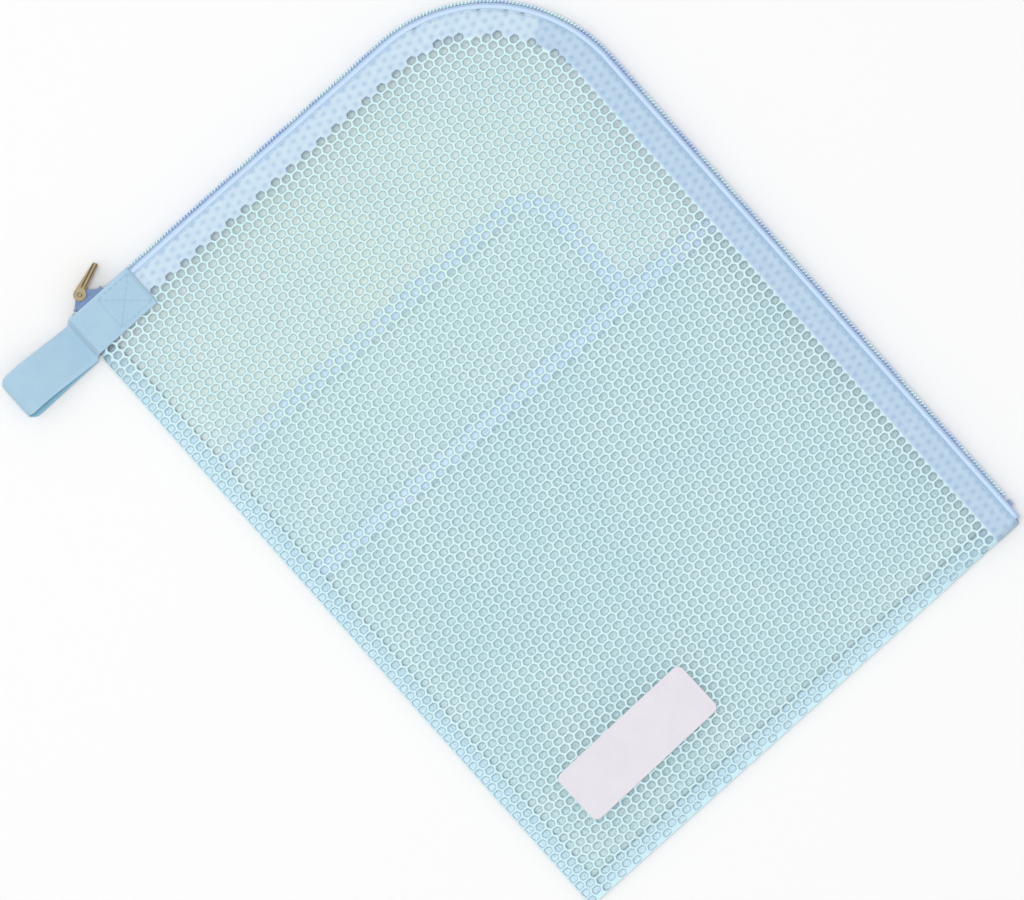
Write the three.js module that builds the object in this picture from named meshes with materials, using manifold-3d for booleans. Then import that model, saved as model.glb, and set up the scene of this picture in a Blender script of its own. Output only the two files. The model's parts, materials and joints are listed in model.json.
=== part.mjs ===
// Document organiser bag: a flat pouch of open mesh, zipped round one short and one long side.
// Sizes are millimetres. X runs across the pouch and Y along it, from the corner where the two
// sewn edges meet, and Z is up from the back face. The finished group is moved at the end, so
// that the part's origin is the middle of the flat back face.
import * as THREE from "three";
import { mergeVertices } from "three/addons/utils/BufferGeometryUtils.js";
import Module from "manifold-3d";

const { clamp, degToRad, lerp, smoothstep } = THREE.MathUtils;

// Driving sizes of the pouch
const pouchWidth = 252;
const pouchLength = 340;
const pouchHeight = 10;
const zipCornerRadius = 71.5;
const sewnCornerRadius = 2.5;
const clearance = 0.3;
const cornerSegments = 12;

// Sheets
const meshThickness = 0.8;
const liningThickness = 0.4;
const facingThickness = 0.4;
const pocketThickness = 0.4;
const pocketHemThickness = 0.8;
const seamBindingThickness = 0.8;
const seamBindingWidth = 7.4;
const seamBindingInset = 0.6;
const facingWidth = 10;
const facingSetBack = 0.5;
const facingLapTurn = degToRad(61.5);
const hemWidth = 8;
const innerAllowance = 1;

// The front panel slopes down to the sewn edges over this reach, and steeply at the zip's ends.
// The parts are the places along the reach, and across the level middle, where it has a vertex.
const seamReach = 26;
const zipEndReach = 2.4;
const reachChangeStart = 70;
const reachChangeEnd = 22;
const reachChangeSteps = 4;
const slopeParts = [0, 0.03, 0.09, 0.2, 0.4, 0.65, 1];
const levelParts = [0.7, 0.78, 0.85, 0.92, 1];

// Pockets on the back panel, by the place of their open edges
const widePocketMouth = 190;
const lowPocketMouth = 131;
const dividerMouth = 253;
const dividerEdge = 192;
const dividerCornerRadius = 20;

// Zip
const panelInset = 3;
const tapeInset = 1.7;
const tapeThickness = 0.5;
const tapeShoulderRadius = 1.2;
const toothDepth = 1.4;
const toothPitch = 3.5;
const toothRoot = 0.8;
const toothTip = 0.5;
const toothFlank = 0.25;
const railTop = 1.6;
const rowSpread = 1.5;
const spreadLead = 4;
const spreadSteps = 4;
const topStopLength = 1.6;
const bottomStopLength = 3;
const bottomStopPlace = 8;

// The opening part of the front panel folds up about a line between the zip's two ends
const foldTopX = 40;
const foldFootY = 14;
const toothlessReach = 8;

// Slider, its crown lug and the pull. The post that parts the rows is given by its distances from
// the nose and the share of its half width at each.
const sliderLength = 16;
const sliderPlate = 1;
const sliderFlange = 0.9;
const sliderNoseRound = 3.5;
const innerPlateHalfWidth = 2.4;
const postStations = [[0.8, 0.7], [3, 1], [6.5, 0.4]];
const lugHalfThickness = 1.1;
const lugRadius = 1.8;
const lugNoseInset = 0.4;
const lugRearInset = 1.2;
const pinRadius = 0.7;
const pinAlong = 6.7;
const pinRecess = 0.5;
const pullEyeRadius = 2.8;
const pullTipRadius = 1.2;
const pullReach = 14.2;
const pullAngle = degToRad(21.5);
const pullEyeOpening = degToRad(30);
const pullCheek = 1.2;
const pullForkRadius = 5;

// Ribbon loop and its sewn tail. The loop swings about its round root, a little off the seam.
const ribbonWidth = 20;
const ribbonThickness = 0.9;
const ribbonTopInset = 0.6;
const ribbonTailLength = 34.5;
const ribbonLoopLength = 40.5;
const loopRootRadius = 0.9;
const loopRootOffset = 1.9;
const loopBulge = 6.2;
const loopOpening = 1.2;
const loopRoundness = 8;
const loopWall = 1.2;
const loopHoleStart = 0.1;
const loopMiddleZ = 4.9;
const loopLevelPart = 0.6;
const loopBackSlip = 3;

// Label
const labelWidth = 72.5;
const labelHeight = 26;
const labelThickness = 0.8;
const labelCornerRadius = 3;
const labelCentre = [61.9, 39.8];
const labelTurn = degToRad(1.2);

// Heights that follow from the sizes above
const zipMiddle = pouchHeight / 2;
const frontUndersideTop = pouchHeight - meshThickness;
const facingTop = frontUndersideTop - clearance;
const liningBase = meshThickness + clearance;
const backFacingBase = liningBase + liningThickness + clearance;
const dividerBase = backFacingBase;
const lowPocketBase = dividerBase + pocketThickness + clearance;
const innerStackTop = Math.max(dividerBase + pocketHemThickness, lowPocketBase + pocketThickness);
const widePocketBase = innerStackTop + clearance;
const seamUnderside = liningBase + seamBindingThickness + clearance;
const onFrontPanel = pouchHeight + clearance;

// Lengths along the zip line, from the end beside the ribbon to the end at the foot
const shortRun = pouchWidth - zipCornerRadius;
const cornerRun = (zipCornerRadius * Math.PI) / 2;
const longRun = pouchLength - zipCornerRadius;
const zipLineLength = shortRun + cornerRun + longRun;
const tapeStart = zipEndReach;
const tapeEnd = zipLineLength - zipEndReach;
const topStopStart = tapeStart + clearance;
const sliderNose = topStopStart + topStopLength + clearance;
const sliderRear = sliderNose + sliderLength;
const firstTooth = sliderNose - clearance / 2;
const bottomStopStart = zipLineLength - bottomStopPlace - bottomStopLength;
const facingInset = panelInset + facingSetBack;
const facingInner = facingInset + facingWidth;
const facingStart = seamBindingInset + seamBindingWidth + clearance;
const facingLap = shortRun + zipCornerRadius * facingLapTurn;
const innerInset = seamBindingInset + seamBindingWidth + innerAllowance;
const foldFootAlong = zipLineLength - foldFootY;

const wasm = await Module();
wasm.setup();

// A point on the zip line, at a distance along it and an offset outwards from it.
function onZipLine(along, outward) {
  const turn = (clamp((along - shortRun) / cornerRun, 0, 1) * Math.PI) / 2;
  const radius = zipCornerRadius + outward;
  const x = Math.min(along, shortRun) + radius * Math.sin(turn);
  const y = pouchLength - zipCornerRadius + radius * Math.cos(turn);
  return [x, y - Math.max(along - shortRun - cornerRun, 0)];
}

// The places along the zip line where a swept strip needs a ring of points.
function zipStations(from, to, extra = []) {
  const stations = [from, ...extra, to];
  for (let i = 0; i <= cornerSegments; i++) {
    stations.push(shortRun + (cornerRun * i) / cornerSegments);
  }
  const inside = stations.filter((s) => s >= from && s <= to);
  return [...new Set(inside)].sort((a, b) => a - b);
}

// How far the slider holds each row of teeth away from the middle line.
function spreadAt(along) {
  return rowSpread * (1 - smoothstep(along, sliderNose + spreadLead, sliderRear - spreadLead));
}

// The places along the zip line where the rows come together inside the slider.
function spreadStations() {
  const stations = [];
  for (let i = 0; i <= spreadSteps; i++) {
    stations.push(lerp(sliderNose + spreadLead, sliderRear - spreadLead, i / spreadSteps));
  }
  return stations;
}

// The rise of the front panel: 0 at the sewn edges, 1 over the flat middle, a quarter sine between.
function frontRise(x, y) {
  const leftReach = reachFrom(pouchLength - y);
  const footReach = reachFrom(pouchWidth - x);
  const side = Math.sin((clamp(x / leftReach, 0, 1) * Math.PI) / 2);
  const foot = Math.sin((clamp(y / footReach, 0, 1) * Math.PI) / 2);
  return side * foot;
}

// The slope's reach shortens towards the zip, so that the zip's wall keeps its full height.
function reachFrom(distanceToZip) {
  return lerp(zipEndReach, seamReach, smoothstep(distanceToZip, reachChangeEnd, reachChangeStart));
}

function frontUnderside(x, y) {
  return lerp(seamUnderside, frontUndersideTop, frontRise(x, y));
}

// A closed geometry from points and triangles, turned round if its faces point inwards.
function closedSurface(points, triangles) {
  const [a, b, c] = [new THREE.Vector3(), new THREE.Vector3(), new THREE.Vector3()];
  let volume = 0;
  for (const [i, j, k] of triangles) {
    volume += a.fromArray(points[i]).dot(b.fromArray(points[j]).cross(c.fromArray(points[k])));
  }
  const order = volume < 0 ? triangles.map(([i, j, k]) => [i, k, j]) : triangles;
  const geometry = new THREE.BufferGeometry();
  geometry.setAttribute("position", new THREE.Float32BufferAttribute(points.flat(), 3));
  geometry.setIndex(order.flat());
  return geometry;
}

// Triangles that fill an outline, wound the same way as the outline.
function fillOutline(outline) {
  const points = outline.map(([u, v]) => new THREE.Vector2(u, v));
  const faces = THREE.ShapeUtils.triangulateShape(points, []);
  const areaOf = THREE.ShapeUtils.area;
  const sameWay = areaOf(points) * areaOf(faces[0].map((i) => points[i])) > 0;
  return sameWay ? faces : faces.map(([i, j, k]) => [i, k, j]);
}

// A strip along the zip line. sectionAt gives the section's [outward, z] points at a distance.
function sweepAlongZip(stations, sectionAt) {
  const points = [];
  const triangles = [];
  const sections = stations.map(sectionAt);
  const count = sections[0].length;
  sections.forEach((section, i) => {
    for (const [outward, z] of section) points.push([...onZipLine(stations[i], outward), z]);
  });
  for (let ring = 0; ring + 1 < stations.length; ring++) {
    for (let i = 0; i < count; i++) {
      const a = ring * count + i;
      const b = ring * count + ((i + 1) % count);
      triangles.push([a, b, b + count], [a, b + count, a + count]);
    }
  }
  const last = (stations.length - 1) * count;
  for (const [i, j, k] of fillOutline(sections[0])) triangles.push([i, k, j]);
  for (const [i, j, k] of fillOutline(sections[sections.length - 1])) {
    triangles.push([last + i, last + j, last + k]);
  }
  return closedSurface(points, triangles);
}

// A flat strip along the zip line between two insets.
function flatZipStrip(from, to, base, thickness) {
  const top = base + thickness;
  const section = [
    [-facingInner, base],
    [-facingInset, base],
    [-facingInset, top],
    [-facingInner, top],
  ];
  return sweepAlongZip(zipStations(from, to), () => section);
}

// A shape pushed along Z between two heights.
function extrudeUp(shape, from, to) {
  const geometry = new THREE.ExtrudeGeometry(shape, {
    depth: to - from,
    bevelEnabled: false,
    curveSegments: cornerSegments,
  });
  return geometry.translate(0, 0, from);
}

// A shape drawn in X and Z, pushed along Y between two places.
function extrudeAcross(shape, from, to) {
  return extrudeUp(shape, 0, to - from).rotateX(Math.PI / 2).translate(0, to, 0);
}

function polygon(points) {
  return new THREE.Shape(points.map(([x, y]) => new THREE.Vector2(x, y)));
}

// The pouch's outline inside the zip line, from a left and a foot edge, with the zip corner round.
function pouchOutline(left, foot, inset, cornerRadius) {
  const right = pouchWidth - inset;
  const top = pouchLength - inset;
  const radius = zipCornerRadius - inset;
  const shape = new THREE.Shape();
  const corner = (x, y, from) => {
    if (cornerRadius > 0) shape.absarc(x, y, cornerRadius, from, from + Math.PI / 2);
  };
  shape.moveTo(left + cornerRadius, foot);
  shape.lineTo(right - cornerRadius, foot);
  corner(right - cornerRadius, foot + cornerRadius, -Math.PI / 2);
  shape.absarc(right - radius, top - radius, radius, 0, Math.PI / 2);
  shape.lineTo(left + cornerRadius, top);
  corner(left + cornerRadius, top - cornerRadius, Math.PI / 2);
  shape.lineTo(left, foot + cornerRadius);
  corner(left + cornerRadius, foot + cornerRadius, Math.PI);
  return shape;
}

function rectangle(left, foot, right, top) {
  return polygon([[left, foot], [right, foot], [right, top], [left, top]]);
}

function toSolid(geometry) {
  const bare = geometry.index ? geometry.toNonIndexed() : geometry.clone();
  bare.deleteAttribute("normal");
  bare.deleteAttribute("uv");
  const merged = mergeVertices(bare, 1e-4);
  const vertProperties = merged.attributes.position.array;
  const triVerts = new Uint32Array(merged.index.array);
  return new wasm.Manifold(new wasm.Mesh({ numProp: 3, vertProperties, triVerts }));
}

function toGeometry(solid) {
  const mesh = solid.getMesh();
  const geometry = new THREE.BufferGeometry();
  geometry.setAttribute("position", new THREE.BufferAttribute(new Float32Array(mesh.vertProperties), 3));
  geometry.setIndex(new THREE.BufferAttribute(new Uint32Array(mesh.triVerts), 1));
  return geometry;
}

// A block that fills one side of the fold line, for cutting pieces there with a clearance.
function foldBlock(side) {
  const reach = 4 * Math.max(pouchWidth, pouchLength);
  const direction = new THREE.Vector2(pouchWidth - foldTopX, foldFootY - pouchLength);
  const block = new THREE.BoxGeometry(reach, reach, reach);
  block.translate(0, side * (reach / 2 + clearance / 2), 0);
  block.rotateZ(direction.angle());
  block.translate(foldTopX, pouchLength, 0);
  return toSolid(block);
}

const mouthSide = foldBlock(1);
const bodySide = foldBlock(-1);

function cutAtFold(geometry, side) {
  return toGeometry(toSolid(geometry).intersect(side));
}

// A tall block over a rectangle of the pouch, for cutting a strip or a middle out of a sheet.
function tallBlock(left, foot, right, top) {
  return toSolid(extrudeUp(rectangle(left, foot, right, top), -pouchHeight, 2 * pouchHeight));
}

// The front panel: one sheet whose top follows frontUnderside, on rows and columns that are close
// together where it slopes or turns the zip corner.
function frontPanelSheet() {
  const right = pouchWidth - panelInset;
  const top = pouchLength - panelInset;
  const radius = zipCornerRadius - panelInset;
  const slope = slopeParts.map((part) => part * seamReach);
  const rows = [...slope];
  for (let i = 0; i <= reachChangeSteps; i++) {
    rows.push(pouchLength - lerp(reachChangeStart, reachChangeEnd, i / reachChangeSteps));
  }
  for (let i = 0; i < cornerSegments; i++) {
    rows.push(top - radius + radius * Math.sin((i / cornerSegments) * (Math.PI / 2)));
  }
  rows.push(top);
  const rowPlaces = [...new Set(rows.filter((y) => y <= top))].sort((a, b) => a - b);
  const rightEdge = (y) => {
    const past = Math.max(y - top + radius, 0);
    return right - radius + Math.sqrt(Math.max(radius ** 2 - past ** 2, 0));
  };
  const points = [];
  for (const y of rowPlaces) {
    const far = rightEdge(y);
    const columns = [...slope, ...levelParts.map((part) => lerp(seamReach, far, part))];
    for (const x of columns) {
      const z = frontUnderside(x, y);
      points.push([x, y, z + meshThickness], [x, y, z]);
    }
  }
  const across = slopeParts.length + levelParts.length;
  const at = (row, column, under) => (row * across + column) * 2 + under;
  const triangles = [];
  for (let row = 0; row + 1 < rowPlaces.length; row++) {
    for (let column = 0; column + 1 < across; column++) {
      const corners = [[row, column], [row, column + 1], [row + 1, column + 1], [row + 1, column]];
      const [a, b, c, d] = corners.map(([r, k]) => at(r, k, 0));
      triangles.push([a, b, c], [a, c, d], [a + 1, c + 1, b + 1], [a + 1, d + 1, c + 1]);
    }
    triangles.push(...edgeQuad(at(row + 1, 0, 0), at(row, 0, 0)));
    triangles.push(...edgeQuad(at(row, across - 1, 0), at(row + 1, across - 1, 0)));
  }
  const lastRow = rowPlaces.length - 1;
  for (let column = 0; column + 1 < across; column++) {
    triangles.push(...edgeQuad(at(0, column, 0), at(0, column + 1, 0)));
    triangles.push(...edgeQuad(at(lastRow, column + 1, 0), at(lastRow, column, 0)));
  }
  return closedSurface(points, triangles);
}

// The sheet's edge between two top vertices, each of which has its underside vertex numbered next.
function edgeQuad(from, to) {
  return [
    [from, from + 1, to],
    [to, from + 1, to + 1],
  ];
}

// Section of one zip tape: upright beside the teeth, then turned over a shoulder towards the panel.
function tapeSection(side, along) {
  const top = facingTop - zipMiddle;
  const start = top - tapeShoulderRadius;
  const centre = -tapeInset - tapeShoulderRadius;
  const outer = [];
  const inner = [];
  const steps = 4;
  for (let i = 0; i <= steps; i++) {
    const angle = (i / steps) * (Math.PI / 2);
    const place = (radius) => [centre + radius * Math.cos(angle), start + radius * Math.sin(angle)];
    outer.push(place(tapeShoulderRadius));
    inner.unshift(place(tapeShoulderRadius - tapeThickness));
  }
  const edge = toothRoot + spreadAt(along);
  const half = [[-tapeInset - tapeThickness, edge], [-tapeInset, edge], ...outer, ...inner];
  return half.map(([outward, height]) => [outward, zipMiddle + side * height]);
}

function zipTape(side, from, to) {
  return sweepAlongZip(zipStations(from, to, spreadStations()), (s) => tapeSection(side, s));
}

// One row of teeth: a rail with a tapered tooth on each pitch. The back row's teeth stand half a
// pitch on, so that each row's teeth lie in the other's gaps with the clearance on each flank.
function teethRow(side, from, to) {
  const middleWidth = toothPitch / 2 - clearance;
  const rootHalf = middleWidth / 2 + toothFlank * toothRoot;
  const tipHalf = middleWidth / 2 - toothFlank * toothTip;
  const shift = side > 0 ? 0 : toothPitch / 2;
  const first = Math.ceil((from - firstTooth - shift) / toothPitch);
  const last = Math.floor((to - firstTooth - shift) / toothPitch);
  const points = [];
  const triangles = [];
  const place = (along, height, outward) => {
    const z = zipMiddle + side * (height + spreadAt(along));
    points.push([...onZipLine(along, outward), z]);
  };
  for (let k = first; k < last; k++) {
    const begin = firstTooth + shift + k * toothPitch;
    const start = k === first ? begin + clearance : begin;
    const middle = begin + toothPitch / 2;
    const end = begin + toothPitch;
    const outline = [
      [start, railTop],
      [start, toothRoot],
      [middle - rootHalf, toothRoot],
      [middle - tipHalf, -toothTip],
      [middle + tipHalf, -toothTip],
      [middle + rootHalf, toothRoot],
      [end, toothRoot],
      [end, railTop],
    ];
    const count = outline.length;
    const base = points.length;
    for (const [along, height] of outline) place(along, height, 0);
    for (const [along, height] of outline) place(along, height, -toothDepth);
    const far = base + count;
    for (const [i, j, m] of fillOutline(outline)) {
      triangles.push([base + i, base + j, base + m], [far + i, far + m, far + j]);
    }
    for (let i = 0; i < count; i++) {
      const joinsLast = i === 0 && k > first;
      const joinsNext = i === count - 2 && k + 1 < last;
      if (joinsLast || joinsNext) continue;
      const a = base + i;
      const b = base + ((i + 1) % count);
      triangles.push([b, a, a + count], [b, a + count, b + count]);
    }
  }
  return closedSurface(points, triangles);
}

// A small metal stop on one row or on both, as a strip between two heights from the middle.
function zipStop(from, to, low, high) {
  const section = (s) => [
    [-toothDepth, zipMiddle + low(s)],
    [0, zipMiddle + low(s)],
    [0, zipMiddle + high(s)],
    [-toothDepth, zipMiddle + high(s)],
  ];
  return sweepAlongZip([from, to], section);
}

// The half width of the slider's channel, which holds both rows and widens to the nose.
function channelHalfWidth(along) {
  return railTop + spreadAt(along) + clearance;
}

// An outline in X and Z from one side's [x, height] points, mirrored about the zip's middle.
function mirroredAboutZip(side) {
  const lower = side.map(([x, height]) => [x, zipMiddle - height]);
  const offMiddle = side.filter(([, height]) => height > 0);
  const upper = offMiddle.map(([x, height]) => [x, zipMiddle + height]);
  return polygon([...lower, ...upper.reverse()]);
}

// A slider plate's outline in X and Z: mirrored about the middle line, rounded at the nose.
function sliderOutline(halfWidthAt) {
  const steps = 10;
  const upper = [];
  for (let i = 1; i <= steps; i++) {
    const reach = (i / steps) ** 2 * sliderLength;
    const short = clamp(1 - reach / sliderNoseRound, 0, 1);
    const x = sliderNose + reach;
    upper.push([x, halfWidthAt(x) * Math.sqrt(1 - short ** 2)]);
  }
  return mirroredAboutZip([[sliderNose, 0], ...upper]);
}

const pinX = sliderNose + pinAlong;
const sliderFace = pouchLength + clearance;
const plateTop = sliderFace + sliderPlate;
const pinY = plateTop + clearance + pullEyeRadius;

// The crown lug: a fin on the outer plate, sloping up from both ends to the pin.
function lugProfile() {
  const base = plateTop - sliderPlate / 2;
  const noseX = sliderNose + lugNoseInset;
  const rearX = sliderRear - lugRearInset;
  const shape = new THREE.Shape();
  shape.moveTo(noseX, base);
  shape.lineTo(rearX, base);
  shape.absarc(pinX, pinY, lugRadius, tangentAngle(rearX, base, -1), tangentAngle(noseX, base, 1));
  const hole = new THREE.Path();
  hole.absarc(pinX, pinY, pinRadius + clearance, 0, Math.PI * 2, true);
  shape.holes.push(hole);
  return shape;
}

// The angle on the lug's round top where a straight slope from a base point touches it.
function tangentAngle(x, y, side) {
  const away = Math.atan2(y - pinY, x - pinX);
  const distance = Math.hypot(x - pinX, y - pinY);
  const angle = away - side * Math.acos(lugRadius / distance);
  return angle < -Math.PI / 2 ? angle + 2 * Math.PI : angle;
}

// Slider: outer plate with flanges round the two rows, inner plate, the post between them that
// parts the rows, and the crown lug.
function sliderBody() {
  const innerTop = pouchLength - tapeInset - tapeThickness - clearance;
  const innerBase = innerTop - sliderPlate;
  const flangeBase = pouchLength - toothDepth;
  const intoPlate = sliderPlate / 2;
  const pushed = (shape, from, to) => toSolid(extrudeAcross(shape, from, to));

  const outerShape = sliderOutline((s) => channelHalfWidth(s) + sliderFlange);
  const outer = pushed(outerShape, sliderFace, plateTop);
  const flanges = pushed(outerShape, flangeBase, sliderFace + intoPlate);
  const overrun = sliderPlate + clearance;
  const stations = [sliderNose - overrun, ...spreadStations(), sliderRear + overrun];
  const channel = mirroredAboutZip(stations.map((s) => [s, channelHalfWidth(s)]));
  const hollowed = flanges.subtract(pushed(channel, flangeBase - overrun, sliderFace));

  const inner = pushed(sliderOutline(() => innerPlateHalfWidth), innerBase, innerTop);
  const postHalf = rowSpread - toothTip - clearance;
  const postSide = postStations.map(([place, share]) => [sliderNose + place, share * postHalf]);
  const post = pushed(mirroredAboutZip(postSide), innerBase + intoPlate, sliderFace + intoPlate);
  const [lugLow, lugHigh] = [zipMiddle - lugHalfThickness, zipMiddle + lugHalfThickness];
  const lug = toSolid(extrudeUp(lugProfile(), lugLow, lugHigh));
  return toGeometry(hollowed.add(outer).add(inner).add(post).add(lug));
}

// The pull: a tapered bar that ends in a fork, whose two cheeks stand either side of the lug.
function pullBar() {
  const tipX = pinX + pullReach * Math.cos(pullAngle);
  const tipY = pinY + pullReach * Math.sin(pullAngle);
  const taper = Math.asin((pullEyeRadius - pullTipRadius) / pullReach);
  const topEdge = pullAngle + Math.PI / 2 - taper;
  const shape = new THREE.Shape();
  shape.absarc(pinX, pinY, pullEyeRadius, topEdge, pullAngle - pullEyeOpening + Math.PI * 2);
  shape.absarc(tipX, tipY, pullTipRadius, pullAngle - Math.PI / 2, topEdge);
  const hole = new THREE.Path();
  hole.absarc(pinX, pinY, pinRadius + clearance, 0, Math.PI * 2, true);
  shape.holes.push(hole);
  const half = lugHalfThickness + clearance + pullCheek;
  const bar = toSolid(extrudeUp(shape, zipMiddle - half, zipMiddle + half));
  const slotHalf = lugHalfThickness + clearance;
  const slotShape = new THREE.Shape();
  slotShape.absarc(pinX, pinY, pullForkRadius, 0, Math.PI * 2);
  const slot = toSolid(extrudeUp(slotShape, zipMiddle - slotHalf, zipMiddle + slotHalf));
  return toGeometry(bar.subtract(slot));
}

function pullPin() {
  const half = lugHalfThickness + clearance + pullCheek - pinRecess;
  const pin = new THREE.CylinderGeometry(pinRadius, pinRadius, 2 * half, 16);
  return pin.rotateX(Math.PI / 2).translate(pinX, pinY, zipMiddle);
}

const ribbonTop = pouchLength - ribbonTopInset;
const ribbonFoot = ribbonTop - ribbonWidth;
const loopRootZ = seamUnderside + meshThickness / 2;

// Half the height of the ribbon loop at a part of its length, 0 at the root and 1 at the far end:
// pressed flat at the root, opening steadily, and rounded off at the far end.
function loopHalfHeight(part, atRoot, bulge) {
  return atRoot * (1 - part) + bulge * part ** loopOpening * Math.sqrt(1 - part ** loopRoundness);
}

// The ribbon loop's side view is a long drop with a round root. Its lower layer lies a little
// further from the zip than its upper one.
function ribbonLoop() {
  const parts = [0, 0.08, 0.2, 0.35, 0.5, 0.65, 0.78, 0.88, 0.94, 0.98, 1];
  const between = parts.slice(1, -1);
  const length = ribbonLoopLength - loopRootOffset;
  const place = (part, height) => {
    const middle = lerp(loopRootZ, loopMiddleZ, Math.min(part / loopLevelPart, 1));
    return new THREE.Vector2(-loopRootOffset - length * part, middle + height);
  };
  const outerHalf = (part) => loopHalfHeight(part, loopRootRadius, loopBulge);
  const outer = parts.map((part) => place(part, outerHalf(part)));
  for (const part of between.toReversed()) outer.push(place(part, -outerHalf(part)));
  const outline = new THREE.Shape(outer);
  outline.absarc(-loopRootOffset, loopRootZ, loopRootRadius, -Math.PI / 2, Math.PI / 2);

  const holeEnd = 1 - ribbonThickness / length;
  const holePlace = (part, side) => {
    const height = side * loopHalfHeight(part, 0, loopBulge - loopWall);
    return place(lerp(loopHoleStart, holeEnd, part), height);
  };
  const hole = parts.map((part) => holePlace(part, 1));
  for (const part of between.toReversed()) hole.push(holePlace(part, -1));
  outline.holes.push(new THREE.Path(hole));

  const geometry = extrudeAcross(outline, ribbonFoot, ribbonTop);
  const position = geometry.attributes.position;
  for (let i = 0; i < position.count; i++) {
    const down = clamp((loopRootZ + loopBulge - position.getZ(i)) / (2 * loopBulge), 0, 1);
    position.setY(i, position.getY(i) - loopBackSlip * down);
  }
  return geometry;
}

// The ribbon's tail: sewn flat on the front panel, and turned down over its edge to the seam.
function ribbonTail() {
  const middleY = (ribbonTop + ribbonFoot) / 2;
  const standOff = 2 * clearance;
  const turnParts = [0, 0.3, 0.6, 1, 1.5];
  const places = turnParts.map((part) => part * zipEndReach - standOff);
  const under = [...places, ribbonTailLength].map((x) => [
    x,
    frontUnderside(x + standOff, middleY) + meshThickness + clearance,
  ]);
  const over = under.map(([x, z]) => [x, z + ribbonThickness]).reverse();
  return extrudeAcross(polygon([...under, ...over]), ribbonFoot, ribbonTop);
}

function labelPatch() {
  const [halfWidth, halfHeight] = [labelWidth / 2, labelHeight / 2];
  const shape = new THREE.Shape();
  const corners = [[1, 1], [-1, 1], [-1, -1], [1, -1]];
  corners.forEach(([across, up], i) => {
    const x = across * (halfWidth - labelCornerRadius);
    const y = up * (halfHeight - labelCornerRadius);
    const from = (i * Math.PI) / 2;
    shape.absarc(x, y, labelCornerRadius, from, from + Math.PI / 2);
  });
  const patch = extrudeUp(shape, 0, labelThickness).rotateZ(labelTurn);
  return patch.translate(labelCentre[0], labelCentre[1], onFrontPanel);
}

// The divider pocket's free edge: a bound strip down its side and along its mouth, round at the corner.
function dividerBinding() {
  const inner = dividerCornerRadius - hemWidth;
  const centreX = dividerEdge - dividerCornerRadius;
  const centreY = dividerMouth - dividerCornerRadius;
  const shape = new THREE.Shape();
  shape.moveTo(dividerEdge - hemWidth, innerInset);
  shape.lineTo(dividerEdge, innerInset);
  shape.absarc(centreX, centreY, dividerCornerRadius, 0, Math.PI / 2);
  shape.lineTo(innerInset, dividerMouth);
  shape.lineTo(innerInset, dividerMouth - hemWidth);
  shape.absarc(centreX, centreY, inner, Math.PI / 2, 0, true);
  return extrudeUp(shape, dividerBase, dividerBase + pocketHemThickness);
}

function dividerPocket() {
  const edge = dividerEdge - hemWidth - clearance;
  const mouth = dividerMouth - hemWidth - clearance;
  const radius = dividerCornerRadius - hemWidth - clearance;
  const shape = new THREE.Shape();
  shape.moveTo(innerInset, innerInset);
  shape.lineTo(edge, innerInset);
  shape.absarc(edge - radius, mouth - radius, radius, 0, Math.PI / 2);
  shape.lineTo(innerInset, mouth);
  return extrudeUp(shape, dividerBase, dividerBase + pocketThickness);
}

// A square-cut pocket: its sheet below the hem, or the hem strip itself along the mouth.
function pocketSheet(right, mouth, base) {
  const outline = rectangle(innerInset, innerInset, right, mouth - hemWidth - clearance);
  return extrudeUp(outline, base, base + pocketThickness);
}

function pocketHem(right, mouth, base, thickness) {
  const outline = rectangle(innerInset, mouth - hemWidth, right, mouth);
  return extrudeUp(outline, base, base + thickness);
}

// A binding folded over a seam's raw edges: a low crowned strip along X or Y.
function seamBinding(length, alongY) {
  const half = seamBindingWidth / 2;
  const crown = seamBindingThickness;
  const crownHalf = half * 0.4;
  const shoulder = crown * 0.6;
  const section = polygon([
    [-half, 0],
    [half, 0],
    [half, shoulder],
    [crownHalf, crown],
    [-crownHalf, crown],
    [-half, shoulder],
  ]);
  const strip = extrudeAcross(section, 0, length);
  if (!alongY) strip.rotateZ(-Math.PI / 2);
  return strip;
}

const finish = {
  mesh: surface(0xc4dde3, 0.75, 0),
  lining: surface(0xb4ced0, 0.85, 0),
  facing: surface(0xb4cde4, 0.7, 0),
  pocket: surface(0xc0dfe8, 0.7, 0),
  hem: surface(0xb0d2e4, 0.7, 0),
  tape: surface(0xb9d2ec, 0.75, 0),
  teeth: surface(0x8aa0c4, 0.45, 0),
  stop: surface(0x9aaccb, 0.4, 0.6),
  slider: surface(0x7f97bf, 0.35, 0.5),
  gold: surface(0xc9b06a, 0.3, 1),
  ribbon: surface(0xaed0e2, 0.65, 0),
  leather: surface(0xebe8ed, 0.5, 0),
};

function surface(color, roughness, metalness) {
  return new THREE.MeshStandardMaterial({ color, roughness, metalness });
}

const bag = new THREE.Group();
const mouthFlap = new THREE.Group();
const slider = new THREE.Group();
const pull = new THREE.Group();
const hangLoop = new THREE.Group();

function addPiece(group, name, geometry, material) {
  const mesh = new THREE.Mesh(geometry, material);
  mesh.name = name;
  group.add(mesh);
  return mesh;
}

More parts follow.
